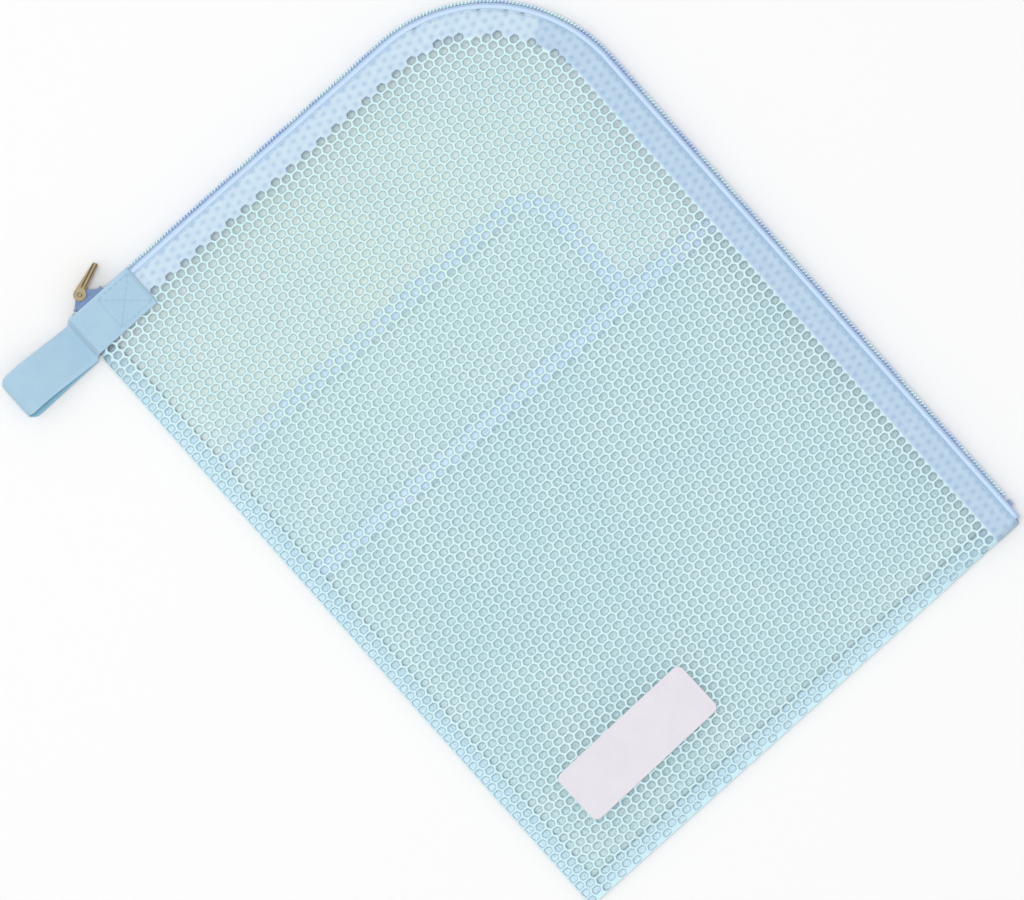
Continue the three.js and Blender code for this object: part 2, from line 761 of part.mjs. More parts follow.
// The back: outer mesh, lining, the facing along the zip and the bindings in the sewn edges
const backOutline = pouchOutline(0, 0, panelInset, sewnCornerRadius);
addPiece(bag, "back_panel", extrudeUp(backOutline, 0, meshThickness), finish.mesh);
const liningOutline = pouchOutline(innerInset, innerInset, facingInset, 0);
const lining = extrudeUp(liningOutline, liningBase, liningBase + liningThickness);
addPiece(bag, "back_lining", lining, finish.lining);
const footFacingEnd = zipLineLength - facingStart;
const backFacing = flatZipStrip(innerInset, footFacingEnd, backFacingBase, facingThickness);
addPiece(bag, "back_facing", backFacing, finish.facing);
const leftStrip = seamBinding(pouchLength - reachChangeEnd, true);
const leftBinding = addPiece(bag, "left_seam_binding", leftStrip, finish.hem);
leftBinding.position.set(seamBindingInset + seamBindingWidth / 2, seamBindingInset, liningBase);
const footBindingLength = pouchWidth - facingInset - facingStart;
const footBinding = addPiece(bag, "foot_seam_binding", seamBinding(footBindingLength, false), finish.hem);
footBinding.position.set(facingStart, seamBindingInset + seamBindingWidth / 2, liningBase);

// The three pockets, from the back forwards
addPiece(bag, "divider_pocket", dividerPocket(), finish.pocket);
addPiece(bag, "divider_pocket_binding", dividerBinding(), finish.hem);
const lowPocketEdge = dividerEdge - hemWidth - clearance;
const lowPocket = pocketSheet(lowPocketEdge, lowPocketMouth, lowPocketBase);
addPiece(bag, "low_pocket", lowPocket, finish.pocket);
const lowHem = pocketHem(lowPocketEdge, lowPocketMouth, lowPocketBase, pocketThickness);
addPiece(bag, "low_pocket_hem", lowHem, finish.hem);
const widePocketEdge = pouchWidth - facingInner;
const widePocket = pocketSheet(widePocketEdge, widePocketMouth, widePocketBase);
addPiece(bag, "wide_pocket", widePocket, finish.pocket);
const wideHem = pocketHem(widePocketEdge, widePocketMouth, widePocketBase, pocketHemThickness);
addPiece(bag, "wide_pocket_hem", wideHem, finish.hem);

// The front panel, in one half that stays and one that folds up, with the label and ribbon tail.
// The half that stays is a level middle and the two edge strips that slope down to the seams.
const frontPanel = frontPanelSheet();
const stayingPanel = toSolid(frontPanel).intersect(bodySide);
const [edgeEnd, middleStart] = [seamReach, seamReach + clearance];
const panelParts = [
  ["front_panel", tallBlock(middleStart, middleStart, pouchWidth, pouchLength)],
  ["front_panel_left_edge", tallBlock(-clearance, -clearance, edgeEnd, pouchLength)],
  ["front_panel_foot_edge", tallBlock(middleStart, -clearance, pouchWidth, edgeEnd)],
];
for (const [name, block] of panelParts) {
  addPiece(bag, name, toGeometry(stayingPanel.intersect(block)), finish.mesh);
}
addPiece(mouthFlap, "front_panel_flap", cutAtFold(frontPanel, mouthSide), finish.mesh);
addPiece(bag, "label_patch", labelPatch(), finish.leather);
addPiece(bag, "ribbon_tail", ribbonTail(), finish.ribbon);

// The facings under the front panel's zip edge, lapped on the corner
const facingBase = facingTop - facingThickness;
const facingOverrun = 3 * facingInner;
const facingCuts = [
  [bag, "front_facing_slider_end", facingStart, foldTopX + facingOverrun, bodySide],
  [mouthFlap, "front_facing_short", foldTopX, facingLap, mouthSide],
  [mouthFlap, "front_facing_long", facingLap + clearance, footFacingEnd, mouthSide],
  [bag, "front_facing_foot_end", foldFootAlong - facingOverrun, footFacingEnd, bodySide],
];
for (const [group, name, from, to, side] of facingCuts) {
  const strip = flatZipStrip(from, to, facingBase, facingThickness);
  addPiece(group, name, cutAtFold(strip, side), finish.facing);
}

// The zip: tapes, rows of teeth and stops
const tapeOverrun = 3 * panelInset;
addPiece(bag, "back_tape", zipTape(-1, tapeStart, tapeEnd), finish.tape);
const sliderEndTape = zipTape(1, tapeStart, foldTopX + tapeOverrun);
addPiece(bag, "front_tape_slider_end", cutAtFold(sliderEndTape, bodySide), finish.tape);
addPiece(mouthFlap, "front_tape_flap", cutAtFold(zipTape(1, foldTopX, tapeEnd), mouthSide), finish.tape);
const footEndTape = zipTape(1, foldFootAlong - tapeOverrun, tapeEnd);
addPiece(bag, "front_tape_foot_end", cutAtFold(footEndTape, bodySide), finish.tape);

const rowEnd = bottomStopStart - clearance;
const teethNodes = [
  [bag, "front_teeth_slider_end", 1, firstTooth, foldTopX],
  [mouthFlap, "front_teeth_short_run", 1, foldTopX + toothlessReach, shortRun],
  [mouthFlap, "front_teeth_long_run", 1, shortRun, foldFootAlong - toothlessReach],
  [bag, "back_teeth_short_run", -1, firstTooth, shortRun],
  [bag, "back_teeth_long_run", -1, shortRun, rowEnd],
];
for (const [group, name, side, from, to] of teethNodes) {
  addPiece(group, name, teethRow(side, from, to), finish.teeth);
}
const stopTip = (s) => spreadAt(s) - toothTip;
const stopTop = (s) => spreadAt(s) + railTop;
const topStopEnd = topStopStart + topStopLength;
addPiece(bag, "top_stop_front", zipStop(topStopStart, topStopEnd, stopTip, stopTop), finish.stop);
const backStop = zipStop(topStopStart, topStopEnd, (s) => -stopTop(s), (s) => -stopTip(s));
addPiece(bag, "top_stop_back", backStop, finish.stop);
const bottomStopEnd = bottomStopStart + bottomStopLength;
const bottomStop = zipStop(bottomStopStart, bottomStopEnd, () => -railTop, () => railTop);
addPiece(bag, "bottom_stop", bottomStop, finish.stop);

// The slider with its pull, and the ribbon loop
addPiece(slider, "slider_body", sliderBody(), finish.slider);
addPiece(pull, "pull_bar", pullBar(), finish.gold);
addPiece(pull, "pull_pin", pullPin(), finish.gold);
addPiece(hangLoop, "hang_loop", ribbonLoop(), finish.ribbon);

slider.add(pull);
bag.add(mouthFlap, slider, hangLoop);
bag.position.set(-pouchWidth / 2, -pouchLength / 2, 0);

const group = new THREE.Group();
group.add(bag);

export default group;
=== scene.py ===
"""Document organiser bag: the looks of a flat zip pouch of open mesh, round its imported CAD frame.

Shapes are worked out in millimetres from the corner where the two sewn edges meet: X runs across
the pouch and Y along it, towards the zip, and Z is up from the back. to_frame puts them in metres
about the frame's origin, the middle of the back.
"""

import json
import math

import bpy
import numpy as np
from bpy.props import FloatProperty, FloatVectorProperty, PointerProperty
from bpy.types import Operator, Panel, PropertyGroup
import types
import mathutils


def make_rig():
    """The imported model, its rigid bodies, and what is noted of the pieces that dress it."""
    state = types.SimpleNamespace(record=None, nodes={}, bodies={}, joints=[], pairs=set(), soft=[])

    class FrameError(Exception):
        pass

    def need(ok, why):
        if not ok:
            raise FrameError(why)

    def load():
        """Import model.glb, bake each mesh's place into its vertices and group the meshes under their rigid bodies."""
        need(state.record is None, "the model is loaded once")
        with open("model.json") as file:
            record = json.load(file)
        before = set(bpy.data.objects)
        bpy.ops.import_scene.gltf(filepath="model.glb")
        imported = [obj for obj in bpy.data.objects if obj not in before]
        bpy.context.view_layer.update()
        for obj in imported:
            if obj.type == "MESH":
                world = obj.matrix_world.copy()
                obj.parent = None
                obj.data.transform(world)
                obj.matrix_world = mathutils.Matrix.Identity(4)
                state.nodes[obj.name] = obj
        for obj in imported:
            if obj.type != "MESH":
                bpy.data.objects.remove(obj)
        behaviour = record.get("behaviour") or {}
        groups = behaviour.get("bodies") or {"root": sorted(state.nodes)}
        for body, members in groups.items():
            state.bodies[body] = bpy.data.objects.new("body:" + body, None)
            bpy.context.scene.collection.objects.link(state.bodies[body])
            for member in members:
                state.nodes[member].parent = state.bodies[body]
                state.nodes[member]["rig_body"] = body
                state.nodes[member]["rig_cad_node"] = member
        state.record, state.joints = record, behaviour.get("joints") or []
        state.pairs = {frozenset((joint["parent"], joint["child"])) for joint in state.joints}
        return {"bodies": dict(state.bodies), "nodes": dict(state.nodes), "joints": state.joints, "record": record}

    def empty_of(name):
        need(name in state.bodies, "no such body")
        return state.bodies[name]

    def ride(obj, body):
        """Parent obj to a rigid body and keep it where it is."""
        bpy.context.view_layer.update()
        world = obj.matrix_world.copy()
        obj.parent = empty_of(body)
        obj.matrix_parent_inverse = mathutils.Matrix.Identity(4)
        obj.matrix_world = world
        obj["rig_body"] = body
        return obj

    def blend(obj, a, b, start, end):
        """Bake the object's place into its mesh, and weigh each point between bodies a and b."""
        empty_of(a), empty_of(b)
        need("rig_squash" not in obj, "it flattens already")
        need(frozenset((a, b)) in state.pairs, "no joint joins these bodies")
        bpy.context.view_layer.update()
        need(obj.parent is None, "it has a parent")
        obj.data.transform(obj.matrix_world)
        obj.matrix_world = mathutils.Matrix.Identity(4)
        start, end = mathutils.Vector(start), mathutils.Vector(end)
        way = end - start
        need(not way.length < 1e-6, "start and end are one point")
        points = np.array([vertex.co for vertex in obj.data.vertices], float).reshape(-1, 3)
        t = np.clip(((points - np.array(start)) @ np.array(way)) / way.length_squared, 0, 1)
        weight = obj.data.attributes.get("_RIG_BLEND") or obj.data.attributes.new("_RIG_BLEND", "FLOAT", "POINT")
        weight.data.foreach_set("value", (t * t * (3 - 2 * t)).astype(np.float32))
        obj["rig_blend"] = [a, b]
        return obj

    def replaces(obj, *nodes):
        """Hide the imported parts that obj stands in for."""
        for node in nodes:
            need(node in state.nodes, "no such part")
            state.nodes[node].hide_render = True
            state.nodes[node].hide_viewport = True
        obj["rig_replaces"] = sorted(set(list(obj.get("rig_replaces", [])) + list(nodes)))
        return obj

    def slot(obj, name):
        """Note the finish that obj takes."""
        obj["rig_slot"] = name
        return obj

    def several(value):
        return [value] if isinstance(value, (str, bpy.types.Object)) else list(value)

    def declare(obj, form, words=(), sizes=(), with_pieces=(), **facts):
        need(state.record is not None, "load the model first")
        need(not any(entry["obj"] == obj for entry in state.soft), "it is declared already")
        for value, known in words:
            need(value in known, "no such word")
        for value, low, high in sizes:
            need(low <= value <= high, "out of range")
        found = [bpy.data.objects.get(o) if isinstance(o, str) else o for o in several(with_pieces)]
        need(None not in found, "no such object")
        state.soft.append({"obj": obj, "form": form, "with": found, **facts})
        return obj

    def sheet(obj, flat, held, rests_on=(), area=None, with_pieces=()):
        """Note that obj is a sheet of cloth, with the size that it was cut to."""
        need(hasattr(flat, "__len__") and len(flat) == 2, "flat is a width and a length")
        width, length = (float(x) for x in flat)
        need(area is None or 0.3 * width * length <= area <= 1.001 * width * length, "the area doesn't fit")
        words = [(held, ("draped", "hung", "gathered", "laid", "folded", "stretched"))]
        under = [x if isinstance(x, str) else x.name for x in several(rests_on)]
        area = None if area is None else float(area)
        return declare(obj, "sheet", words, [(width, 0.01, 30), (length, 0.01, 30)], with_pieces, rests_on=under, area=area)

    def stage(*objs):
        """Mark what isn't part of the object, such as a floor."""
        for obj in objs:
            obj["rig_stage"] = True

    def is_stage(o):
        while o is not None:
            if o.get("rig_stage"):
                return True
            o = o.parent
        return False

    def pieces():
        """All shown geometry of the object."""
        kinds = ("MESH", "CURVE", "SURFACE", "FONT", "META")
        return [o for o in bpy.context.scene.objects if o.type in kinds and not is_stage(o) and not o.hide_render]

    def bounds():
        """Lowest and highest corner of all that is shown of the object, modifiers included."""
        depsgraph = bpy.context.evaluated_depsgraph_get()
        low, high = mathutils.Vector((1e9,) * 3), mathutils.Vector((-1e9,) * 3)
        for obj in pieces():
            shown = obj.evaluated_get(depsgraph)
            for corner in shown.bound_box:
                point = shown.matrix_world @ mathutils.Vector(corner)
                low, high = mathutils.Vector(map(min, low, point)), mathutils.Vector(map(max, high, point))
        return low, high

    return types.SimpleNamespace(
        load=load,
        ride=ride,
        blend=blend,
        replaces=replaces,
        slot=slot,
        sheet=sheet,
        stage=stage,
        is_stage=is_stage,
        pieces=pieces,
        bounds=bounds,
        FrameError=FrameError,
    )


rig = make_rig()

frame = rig.load()

bl_info = {
    "name": "Document Organiser Bag",
    "version": (1, 0, 0),
    "blender": (4, 5, 0),
    "location": "3D View > Sidebar > Bag",
    "description": "Builds a zip pouch of open mesh with pockets, a ribbon loop and a bare label",
    "category": "Object",
}

SIZE_FILE = "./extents.json"
MM = 0.001

# Where the two bodies of the front panel meet, in millimetres on the zip line
FOLD_TOP = np.array([40.0, 340.0])
FOLD_FOOT = np.array([252.0, 14.0])
FOLD_ROLL = 16.0
FOLD_HEIGHT = 10.0

# Heights of the layers, in millimetres, as in the CAD frame
NET_THICKNESS = 0.8
BACK_NET_MIDDLE = 0.4
LINING_LAYER = (1.1, 1.5)
BINDING_LAYER = (1.1, 1.9)
BACK_FACING_LAYER = (1.8, 2.2)
DIVIDER_LAYER = (1.8, 2.2)
DIVIDER_BINDING_LAYER = (1.8, 2.6)
LOW_POCKET_LAYER = (2.5, 2.9)
WIDE_POCKET_LAYER = (3.2, 3.6)
WIDE_HEM_LAYER = (3.2, 4.0)
SEAM_UNDERSIDE = 2.2
FRONT_FACING_LAYER = (8.5, 8.9)
LABEL_LAYER = (10.3, 11.1)

# The nets, in millimetres: insets from the zip line, and sizes of a cell
FRONT_NET_INSET = 4.3
BACK_NET_INSET = 3.0
PRESSED_BAND = 14.9
BAND_START = 15.4
BAND_END = 17.0
LATTICE_START = (1.87, 1.73)
HOLE_MARGIN = 0.9
RIM_MARGIN = 0.6
EDGE_HALF = 0.15
ON_OUTLINE = 0.01
DIMPLE_DEPTH = 0.3

# A cell of the net: its corners, the points of its hole, and shares of the column pitch
CELL_CORNERS = 6
HOLE_POINTS = 12
NEAR_CORNER_SHARE = 0.391
FAR_CORNER_SHARE = 0.609

# Share of a net's area that is thread
THREAD_SHARE = 0.53

# Shallow waves, in millimetres: depths, and how far from the zip the front net's begin
SAG_DEPTH = 0.55
SAG_START = 16.0
SAG_FULL = 40.0
LINING_WAVE = 0.06
POCKET_WAVE = 0.03

# Where the front net lies level under the label: middle and reach in millimetres, and aspect
LEVEL_MIDDLE = (62.0, 40.0)
LEVEL_REACH = (24.0, 40.0)
LEVEL_ASPECT = 1.6

# The sewn edges, in millimetres
SEAM_INSET = 9.0
LINING_INSET = 3.5
BINDING_MIDDLE = 4.7
BINDING_WIDTH = 8.2
BINDING_SEAMS = (2.2, 6.4)
LEFT_BINDING_ENDS = (0.8, 318.4)
LEFT_SEAM_ENDS = (2.0, 317.0)
FOOT_BINDING_ENDS = (9.1, 248.3)
FOOT_SEAM_ENDS = (10.1, 247.0)

# Facings and folded edge, in millimetres, and the turn on the corner where the facings lap
FACING_INSET = 3.5
FACING_END = 8.3
BACK_FACING_START = 9.3
LAP_TURN = math.radians(61.5)
LAP_STEP = 0.3
FOLDED_EDGE_END = 3.0
FOLDED_EDGE_INSET = 2.6
FOLDED_EDGE_WIDTH = 1.68
FOLDED_EDGE_HEIGHTS = (-0.85, 0.05)
EDGE_SEAM_INSET = 5.4
EDGE_SEAM_START = 38.0
EDGE_SEAM_RISE = 0.02

# Plan of the pockets, in millimetres, and the points along the divider's bound edge
DIVIDER_SIDE = 192.0
DIVIDER_MOUTH = 253.0
DIVIDER_CORNER = 20.0
LOW_POCKET_SIDE = 183.7
LOW_POCKET_MOUTH = 131.0
WIDE_POCKET_SIDE = 238.5
WIDE_POCKET_MOUTH = 190.0
DIVIDER_SIDE_POINTS = 40
DIVIDER_CORNER_POINTS = 16

# The zip, in millimetres: distances along it, insets from it, and heights from its middle
ZIP_END = 2.4
TAPE_INSET = 1.95
TAPE_HALF = 0.25
TAPE_EDGE = 0.8
SHOULDER_INSET = 2.9
SHOULDER_RADIUS = 0.95
SHOULDER_GAP = 0.3
COIL_START = 4.9
COIL_END = 12.0
COIL_INSET = 0.7
COIL_MIDDLE = 0.575
COIL_REACH = 0.55
COIL_HALF_HEIGHT = 1.03

# Points on the tape's shoulder, rings in a turn of the coil, and sides of its wire
SHOULDER_POINTS = 7
COIL_RINGS = 8
WIRE_SIDES = 4

# The pull from above: its pin in millimetres, and its turn
PULL_PIN = (11.3, 344.4)
PULL_TURN = math.radians(21.5)

# The ribbon, in millimetres: its sewn root stands on the left seam, near the zip's end
RIBBON_MIDDLE_Y = 329.4
RIBBON_THICKNESS = 0.8
RIBBON_SELVEDGE = (8.6, 9.6)
RIBBON_FLAT_LENGTH = 119.0
RIBBON_ROOT = -1.9
TAIL_START = -0.6
TAIL_LENGTH = 35.1
TAIL_LIFT = 0.3
LOOP_LENGTH = 38.1
LAYER_HALF_GAP = 0.45
LOOP_BULGE = 5.7
SEAM_MIDDLE = 2.6
LOOP_MIDDLE = 4.9
SLIP_TOP = 8.8
SLIP_FALL = 12.4
LOOP_SLIP = 3.0
LOOP_ROUNDING = (36.0, 40.4)
LOOP_BEND = (-0.9, -4.5)
LOOP_BEND_HEIGHT = 3.0

# Shares of the loop: the part over which its middle rises, and the narrowing of its far end
LOOP_RISE_SHARE = 0.6
LOOP_NARROWING = 0.14

# Points along the ribbon's tail, and along each layer of its loop
TAIL_POINTS = 40
LOOP_POINTS = 36

# The label, in millimetres, its turn, and the points round it
LABEL_MIDDLE = (61.9, 39.8)
LABEL_CORNER = 3.0
LABEL_CORE = 0.2
LABEL_CROWN = 0.03
LABEL_TURN = math.radians(1.2)
LABEL_POINTS = 64

# The label's section, from its edge inwards: distance from the edge, and drop below the top
LABEL_SECTION = [
    (0.0, 0.3),
    (0.04, 0.14),
    (0.12, 0.06),
    (0.3, 0.0),
    (1.1, 0.0),
    (1.4, 0.05),
    (1.7, 0.14),
    (2.0, 0.05),
    (2.3, 0.0),
    (4.0, -0.02),
    (8.0, -0.02),
    (12.0, -0.02),
]

# Sewing, in millimetres
STITCH_THREAD = 0.42
EDGE_SEAM_THREAD = 0.36
HEM_SEAM_INSET = 1.2
HEM_SEAM_END = 1.0
BINDING_SEAM_SINK = 0.05
RIBBON_SEAM_ABOVE = 1.15
RIBBON_SEAM_SIDES = (15.5, 33.2)
RIBBON_SEAM_ENDS = (321.5, 337.3)

# A stitch: its share of the pitch, its height as a share of its width, and its sides
STITCH_SHARE = 0.78
STITCH_FLATNESS = 0.7
STITCH_SIDES = 4

# Where the threads turn less blue, in millimetres from the sewn edges
BLUE_EDGE = (2.0, 12.0)

# Zones of colour on the pouch, in millimetres: the middle of each and its reach each way
GREEN_ZONE = ((110, 262), (120, 85))
PALE_LINING_ZONE = ((105, 262), (130, 80))
CALM_ZONE = ((222, 38), (34, 46))

# Pitches of the spots of the fine nets inside, across and along, in millimetres
LINING_SPOTS = (2.3, 2.15)
POCKET_SPOTS = (2.1, 2.5)

# Sockets of a Mix node for colours, by number, because its kinds share their names
MIX_FACTOR = 0
MIX_FIRST = 6
MIX_SECOND = 7
MIX_COLOUR = 2


def to_frame(points):
    """Millimetre points from the pouch's corner become metres about the frame's origin."""
    sizes = bpy.context.scene.bag_sizes
    origin = np.array([sizes.width / 2, sizes.length / 2, 0.0])
    return np.asarray(points, float) * MM - origin


def length_property(name, description, default_mm):
    """A length shown in the sidebar, given here in millimetres."""
    return FloatProperty(
        name=name,
        description=description,
        default=default_mm * MM,
        min=0.0,
        precision=5,
        subtype="DISTANCE",
        unit="LENGTH",
    )


def colour_property(name, description, default):
    """A linear colour shown in the sidebar."""
    return FloatVectorProperty(
        name=name,
        description=description,
        default=default,
        min=0.0,
        max=1.0,
        size=3,
        subtype="COLOR",
    )


class BagSizes(PropertyGroup):
    """Sizes of the pouch that a user would change."""

    width: length_property("Width", "Across the pouch, from the sewn edge to the zip", 252)
    length: length_property("Length", "Along the pouch, from the sewn edge to the zip", 340)
    height: length_property("Height", "Thickness of the closed pouch at the zip", 10)
    zip_corner: length_property("Zip corner", "Radius of the corner that the zip turns", 71.5)
    column_pitch: length_property("Column pitch", "Distance between columns of holes", 4.37)
    row_pitch: length_property("Row pitch", "Distance between the holes of a column", 4.08)
    hole_width: length_property("Hole width", "Width of a hole across the pouch", 3.66)
    hole_length: length_property("Hole length", "Length of a hole along the pouch", 2.94)
    facing_width: length_property("Facing width", "Width of the facing along the zip", 10)
    hem_width: length_property("Hem width", "Width of the pocket hems", 8)
    coil_pitch: length_property("Coil pitch", "Length of one turn of the zip coil", 1.6)
    coil_wire: length_property("Coil wire", "Thickness of the coil's wire", 0.62)
    ribbon_width: length_property("Ribbon width", "Width of the loop's ribbon", 20)
    stitch_length: length_property("Stitch length", "Distance from one stitch to the next", 2.6)
    label_width: length_property("Label width", "Long side of the bare label", 72.5)
    label_height: length_property("Label height", "Short side of the bare label", 26)


class BagColours(PropertyGroup):
    """Linear colours of the pouch's materials."""

    thread: colour_property("Thread", "Threads of the outer mesh", (0.64, 0.835, 0.87))
    lining: colour_property("Lining", "Sheer lining of the back", (0.86, 0.94, 0.93))
    pocket: colour_property("Pocket", "Sheer pocket sheets", (0.78, 0.94, 0.95))
    hem: colour_property("Hem", "Hems and seam bindings", (0.70, 0.84, 1.0))
    facing: colour_property("Facing", "Facing tape along the zip", (0.50, 0.66, 0.86))
    tape: colour_property("Tape", "Woven tape of the zip", (0.41, 0.54, 0.78))
    coil: colour_property("Coil", "Coil of the zip", (0.58, 0.74, 1.0))
    slider: colour_property("Slider", "Painted slider", (0.185, 0.275, 0.47))
    gold: colour_property("Gold", "Pull of the zip", (0.50, 0.42, 0.26))
    ribbon: colour_property("Ribbon", "Ribbon of the loop and its tail", (0.36, 0.53, 0.66))
    label: colour_property("Label", "Bare label of smooth imitation leather", (0.71, 0.68, 0.73))


def smoothstep(value, start, end):
    """3t^2 - 2t^3 for t from 0 at start to 1 at end."""
    t = np.clip((np.asarray(value, float) - start) / (end - start), 0, 1)
    return t * t * (3 - 2 * t)


def lerp(start, end, share):
    """start + (end - start) * share."""
    return start + (end - start) * share


class PouchShape:
    """The pouch's plan and section in millimetres, from the sizes in the sidebar."""

    seam_reach = 26.0
    zip_end_reach = 2.4
    reach_change_start = 70.0
    reach_change_end = 22.0
    row_spread = 1.5
    slider_nose = 4.6
    slider_rear = 20.6
    spread_lead = 4.0

    def __init__(self, sizes):
        """Sizes in metres become the plan's lengths in millimetres."""
        self.width = sizes.width / MM
        self.length = sizes.length / MM
        self.height = sizes.height / MM
        self.corner = sizes.zip_corner / MM
        self.short_run = self.width - self.corner
        self.corner_run = self.corner * math.pi / 2
        self.zip_length = self.short_run + self.corner_run + self.length - self.corner
        self.zip_middle = self.height / 2
        self.net_underside_top = self.height - NET_THICKNESS

    def on_zip_line(self, along, outward):
        """Plan point at a distance s along the zip line and a distance out of it.

        x = min(s, run) + (r + out) sin(turn), and y = centre + (r + out) cos(turn), less what is
        left of s after the corner.
        """
        along = np.asarray(along, float)
        turn = np.clip((along - self.short_run) / self.corner_run, 0, 1) * math.pi / 2
        radius = self.corner + np.asarray(outward, float)
        x = np.minimum(along, self.short_run) + radius * np.sin(turn)
        past = np.maximum(along - self.short_run - self.corner_run, 0)
        y = self.length - self.corner + radius * np.cos(turn) - past
        return x, y

    def inset_from_zip(self, x, y):
        """Distance inwards from the zip line: to the nearer straight side, or to the corner's arc."""
        centre_x = self.width - self.corner
        centre_y = self.length - self.corner
        straight = np.minimum(self.width - x, self.length - y)
        round_part = self.corner - np.hypot(x - centre_x, y - centre_y)
        return np.where((x > centre_x) & (y > centre_y), round_part, straight)

    def reach_from(self, to_zip):
        """How far from a sewn edge the front has risen: less near the end of the zip."""
        share = smoothstep(to_zip, self.reach_change_end, self.reach_change_start)
        return lerp(self.zip_end_reach, self.seam_reach, share)

    def rise(self, x, y):
        """sin of the share of the reach from the left edge, times the same from the foot edge."""
        side = np.clip(x / self.reach_from(self.length - y), 0, 1)
        foot = np.clip(y / self.reach_from(self.width - x), 0, 1)
        return np.sin(side * math.pi / 2) * np.sin(foot * math.pi / 2)

    def front_underside(self, x, y):
        """Height of the front net's underside: low at the seams, full over the middle."""
        return lerp(SEAM_UNDERSIDE, self.net_underside_top, self.rise(x, y))

    def front_middle(self, x, y):
        """Height of the middle of the front net."""
        return self.front_underside(x, y) + NET_THICKNESS / 2

    def spread(self, along):
        """How far the slider holds each row of the zip away from its middle line."""
        start = self.slider_nose + self.spread_lead
        end = self.slider_rear - self.spread_lead
        return self.row_spread * (1 - smoothstep(along, start, end))


def pouch_shape(context):
    """The pouch's shape with the sizes of the scene."""
    return PouchShape(context.scene.bag_sizes)


def welded(points, faces, grain=0.001):
    """Points that share a place become one, and faces that lose an edge are dropped."""
    keys = np.round(np.asarray(points) / grain).astype(np.int64)
    _, first, place = np.unique(keys, axis=0, return_index=True, return_inverse=True)
    triangles = place.reshape(-1)[triangulated(faces)]
    a, b, c = triangles.T
    kept = triangles[(a != b) & (b != c) & (c != a)]
    used, renumbered = np.unique(kept, return_inverse=True)
    return np.asarray(points)[first][used], renumbered.reshape(-1, 3)


def triangulated(faces):
    """Quads become two triangles each."""
    faces = np.asarray(faces)
    if faces.shape[1] == 3:
        return faces
    return np.concatenate([faces[:, [0, 1, 2]], faces[:, [0, 2, 3]]])


def make_mesh(name, points, faces, smooth=True):
    """A mesh object from millimetre points and an array of triangles or quads."""
    faces = np.asarray(faces)
    corners = faces.shape[1]
    mesh = bpy.data.meshes.new(name)
    mesh.vertices.add(len(points))
    mesh.vertices.foreach_set("co", to_frame(points).ravel())
    mesh.loops.add(faces.size)
    mesh.loops.foreach_set("vertex_index", faces.ravel().astype(np.int32))
    mesh.polygons.add(len(faces))
    mesh.polygons.foreach_set("loop_start", np.arange(0, faces.size, corners, dtype=np.int32))
    mesh.polygons.foreach_set("use_smooth", np.full(len(faces), smooth))
    mesh.update(calc_edges=True)
    piece = bpy.data.objects.new(name, mesh)
    bpy.context.scene.collection.objects.link(piece)
    return piece


def make_piece(name, surface, material, slot):
    """A welded mesh piece with its material and its slot in the record."""
    points, faces = welded(*surface)
    piece = make_mesh(name, points, faces)
    piece.data.materials.append(material)
    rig.slot(piece, slot)
    return piece


def joined(*surfaces):
    """Several surfaces as one: the faces of each are numbered on from the last."""
    points = []
    faces = []
    count = 0
    for surface_points, surface_faces in surfaces:
        points.append(np.asarray(surface_points).reshape(-1, 3))
        faces.append(triangulated(surface_faces) + count)
        count += len(points[-1])
    return np.concatenate(points), np.concatenate(faces)


def grid_faces(rows, columns, round_columns=False):
    """Quads (i, j), (i, j+1), (i+1, j+1), (i+1, j) of a grid, its columns closed round if asked."""
    j = np.arange(columns if round_columns else columns - 1)
    row, column = np.meshgrid(np.arange(rows - 1), j, indexing="ij")
    beside = (column + 1) % columns
    here, next_row = row * columns, (row + 1) * columns
    quads = [here + column, here + beside, next_row + beside, next_row + column]
    return np.stack(quads, axis=-1).reshape(-1, 4)


def outwards(points, faces):
    """The same closed surface, turned round where the signed volume sum a.(b x c) is negative."""
    points = np.asarray(points, float).reshape(-1, 3)
    triangles = triangulated(faces)
    a, b, c = (points[triangles[:, k]] for k in range(3))
    if np.einsum("ij,ij->i", a, np.cross(b, c)).sum() < 0:
        triangles = triangles[:, ::-1]
    return points, triangles


def capped_sweep(rings):
    """A closed sweep: rings of points (stations, ring, 3) joined by quads, each end closed by a fan."""
    stations, count, _ = rings.shape
    body = grid_faces(stations, count, round_columns=True)
    start = rings[0].mean(axis=0)
    end = rings[-1].mean(axis=0)
    points = np.concatenate([rings.reshape(-1, 3), [start, end]])
    i = np.arange(count)
    ahead = (i + 1) % count
    last = (stations - 1) * count
    first_cap = np.stack([np.full(count, stations * count), ahead, i], axis=1)
    last_cap = np.stack([np.full(count, stations * count + 1), last + i, last + ahead], axis=1)
    faces = np.concatenate([triangulated(body), first_cap, last_cap])
    return outwards(points, faces)


def rounded_section(width, thickness, count=24, power=4.0):
    """A superellipse |u/a|^p + |v/b|^p = 1 as (u, v) points, for the section of a flat strip."""
    turn = np.linspace(0, 2 * np.pi, count, endpoint=False)
    u = np.sign(np.cos(turn)) * np.abs(np.cos(turn)) ** (2 / power)
    v = np.sign(np.sin(turn)) * np.abs(np.sin(turn)) ** (2 / power)
    return u * width / 2, v * thickness / 2


def zip_strip(shape, start, end, inset, width, low, high, step=2.5):
    """A strip along the zip line: a rounded section centred at an inset, carried from start to end."""
    along = np.linspace(start, end, max(int((end - start) / step), 2) + 1)
    u, v = rounded_section(width, high - low)
    x, y = shape.on_zip_line(along[:, None], -(inset + width / 2) + u[None, :])
    z = np.broadcast_to((low + high) / 2 + v, x.shape)
    return capped_sweep(np.stack([x, y, z], axis=-1))


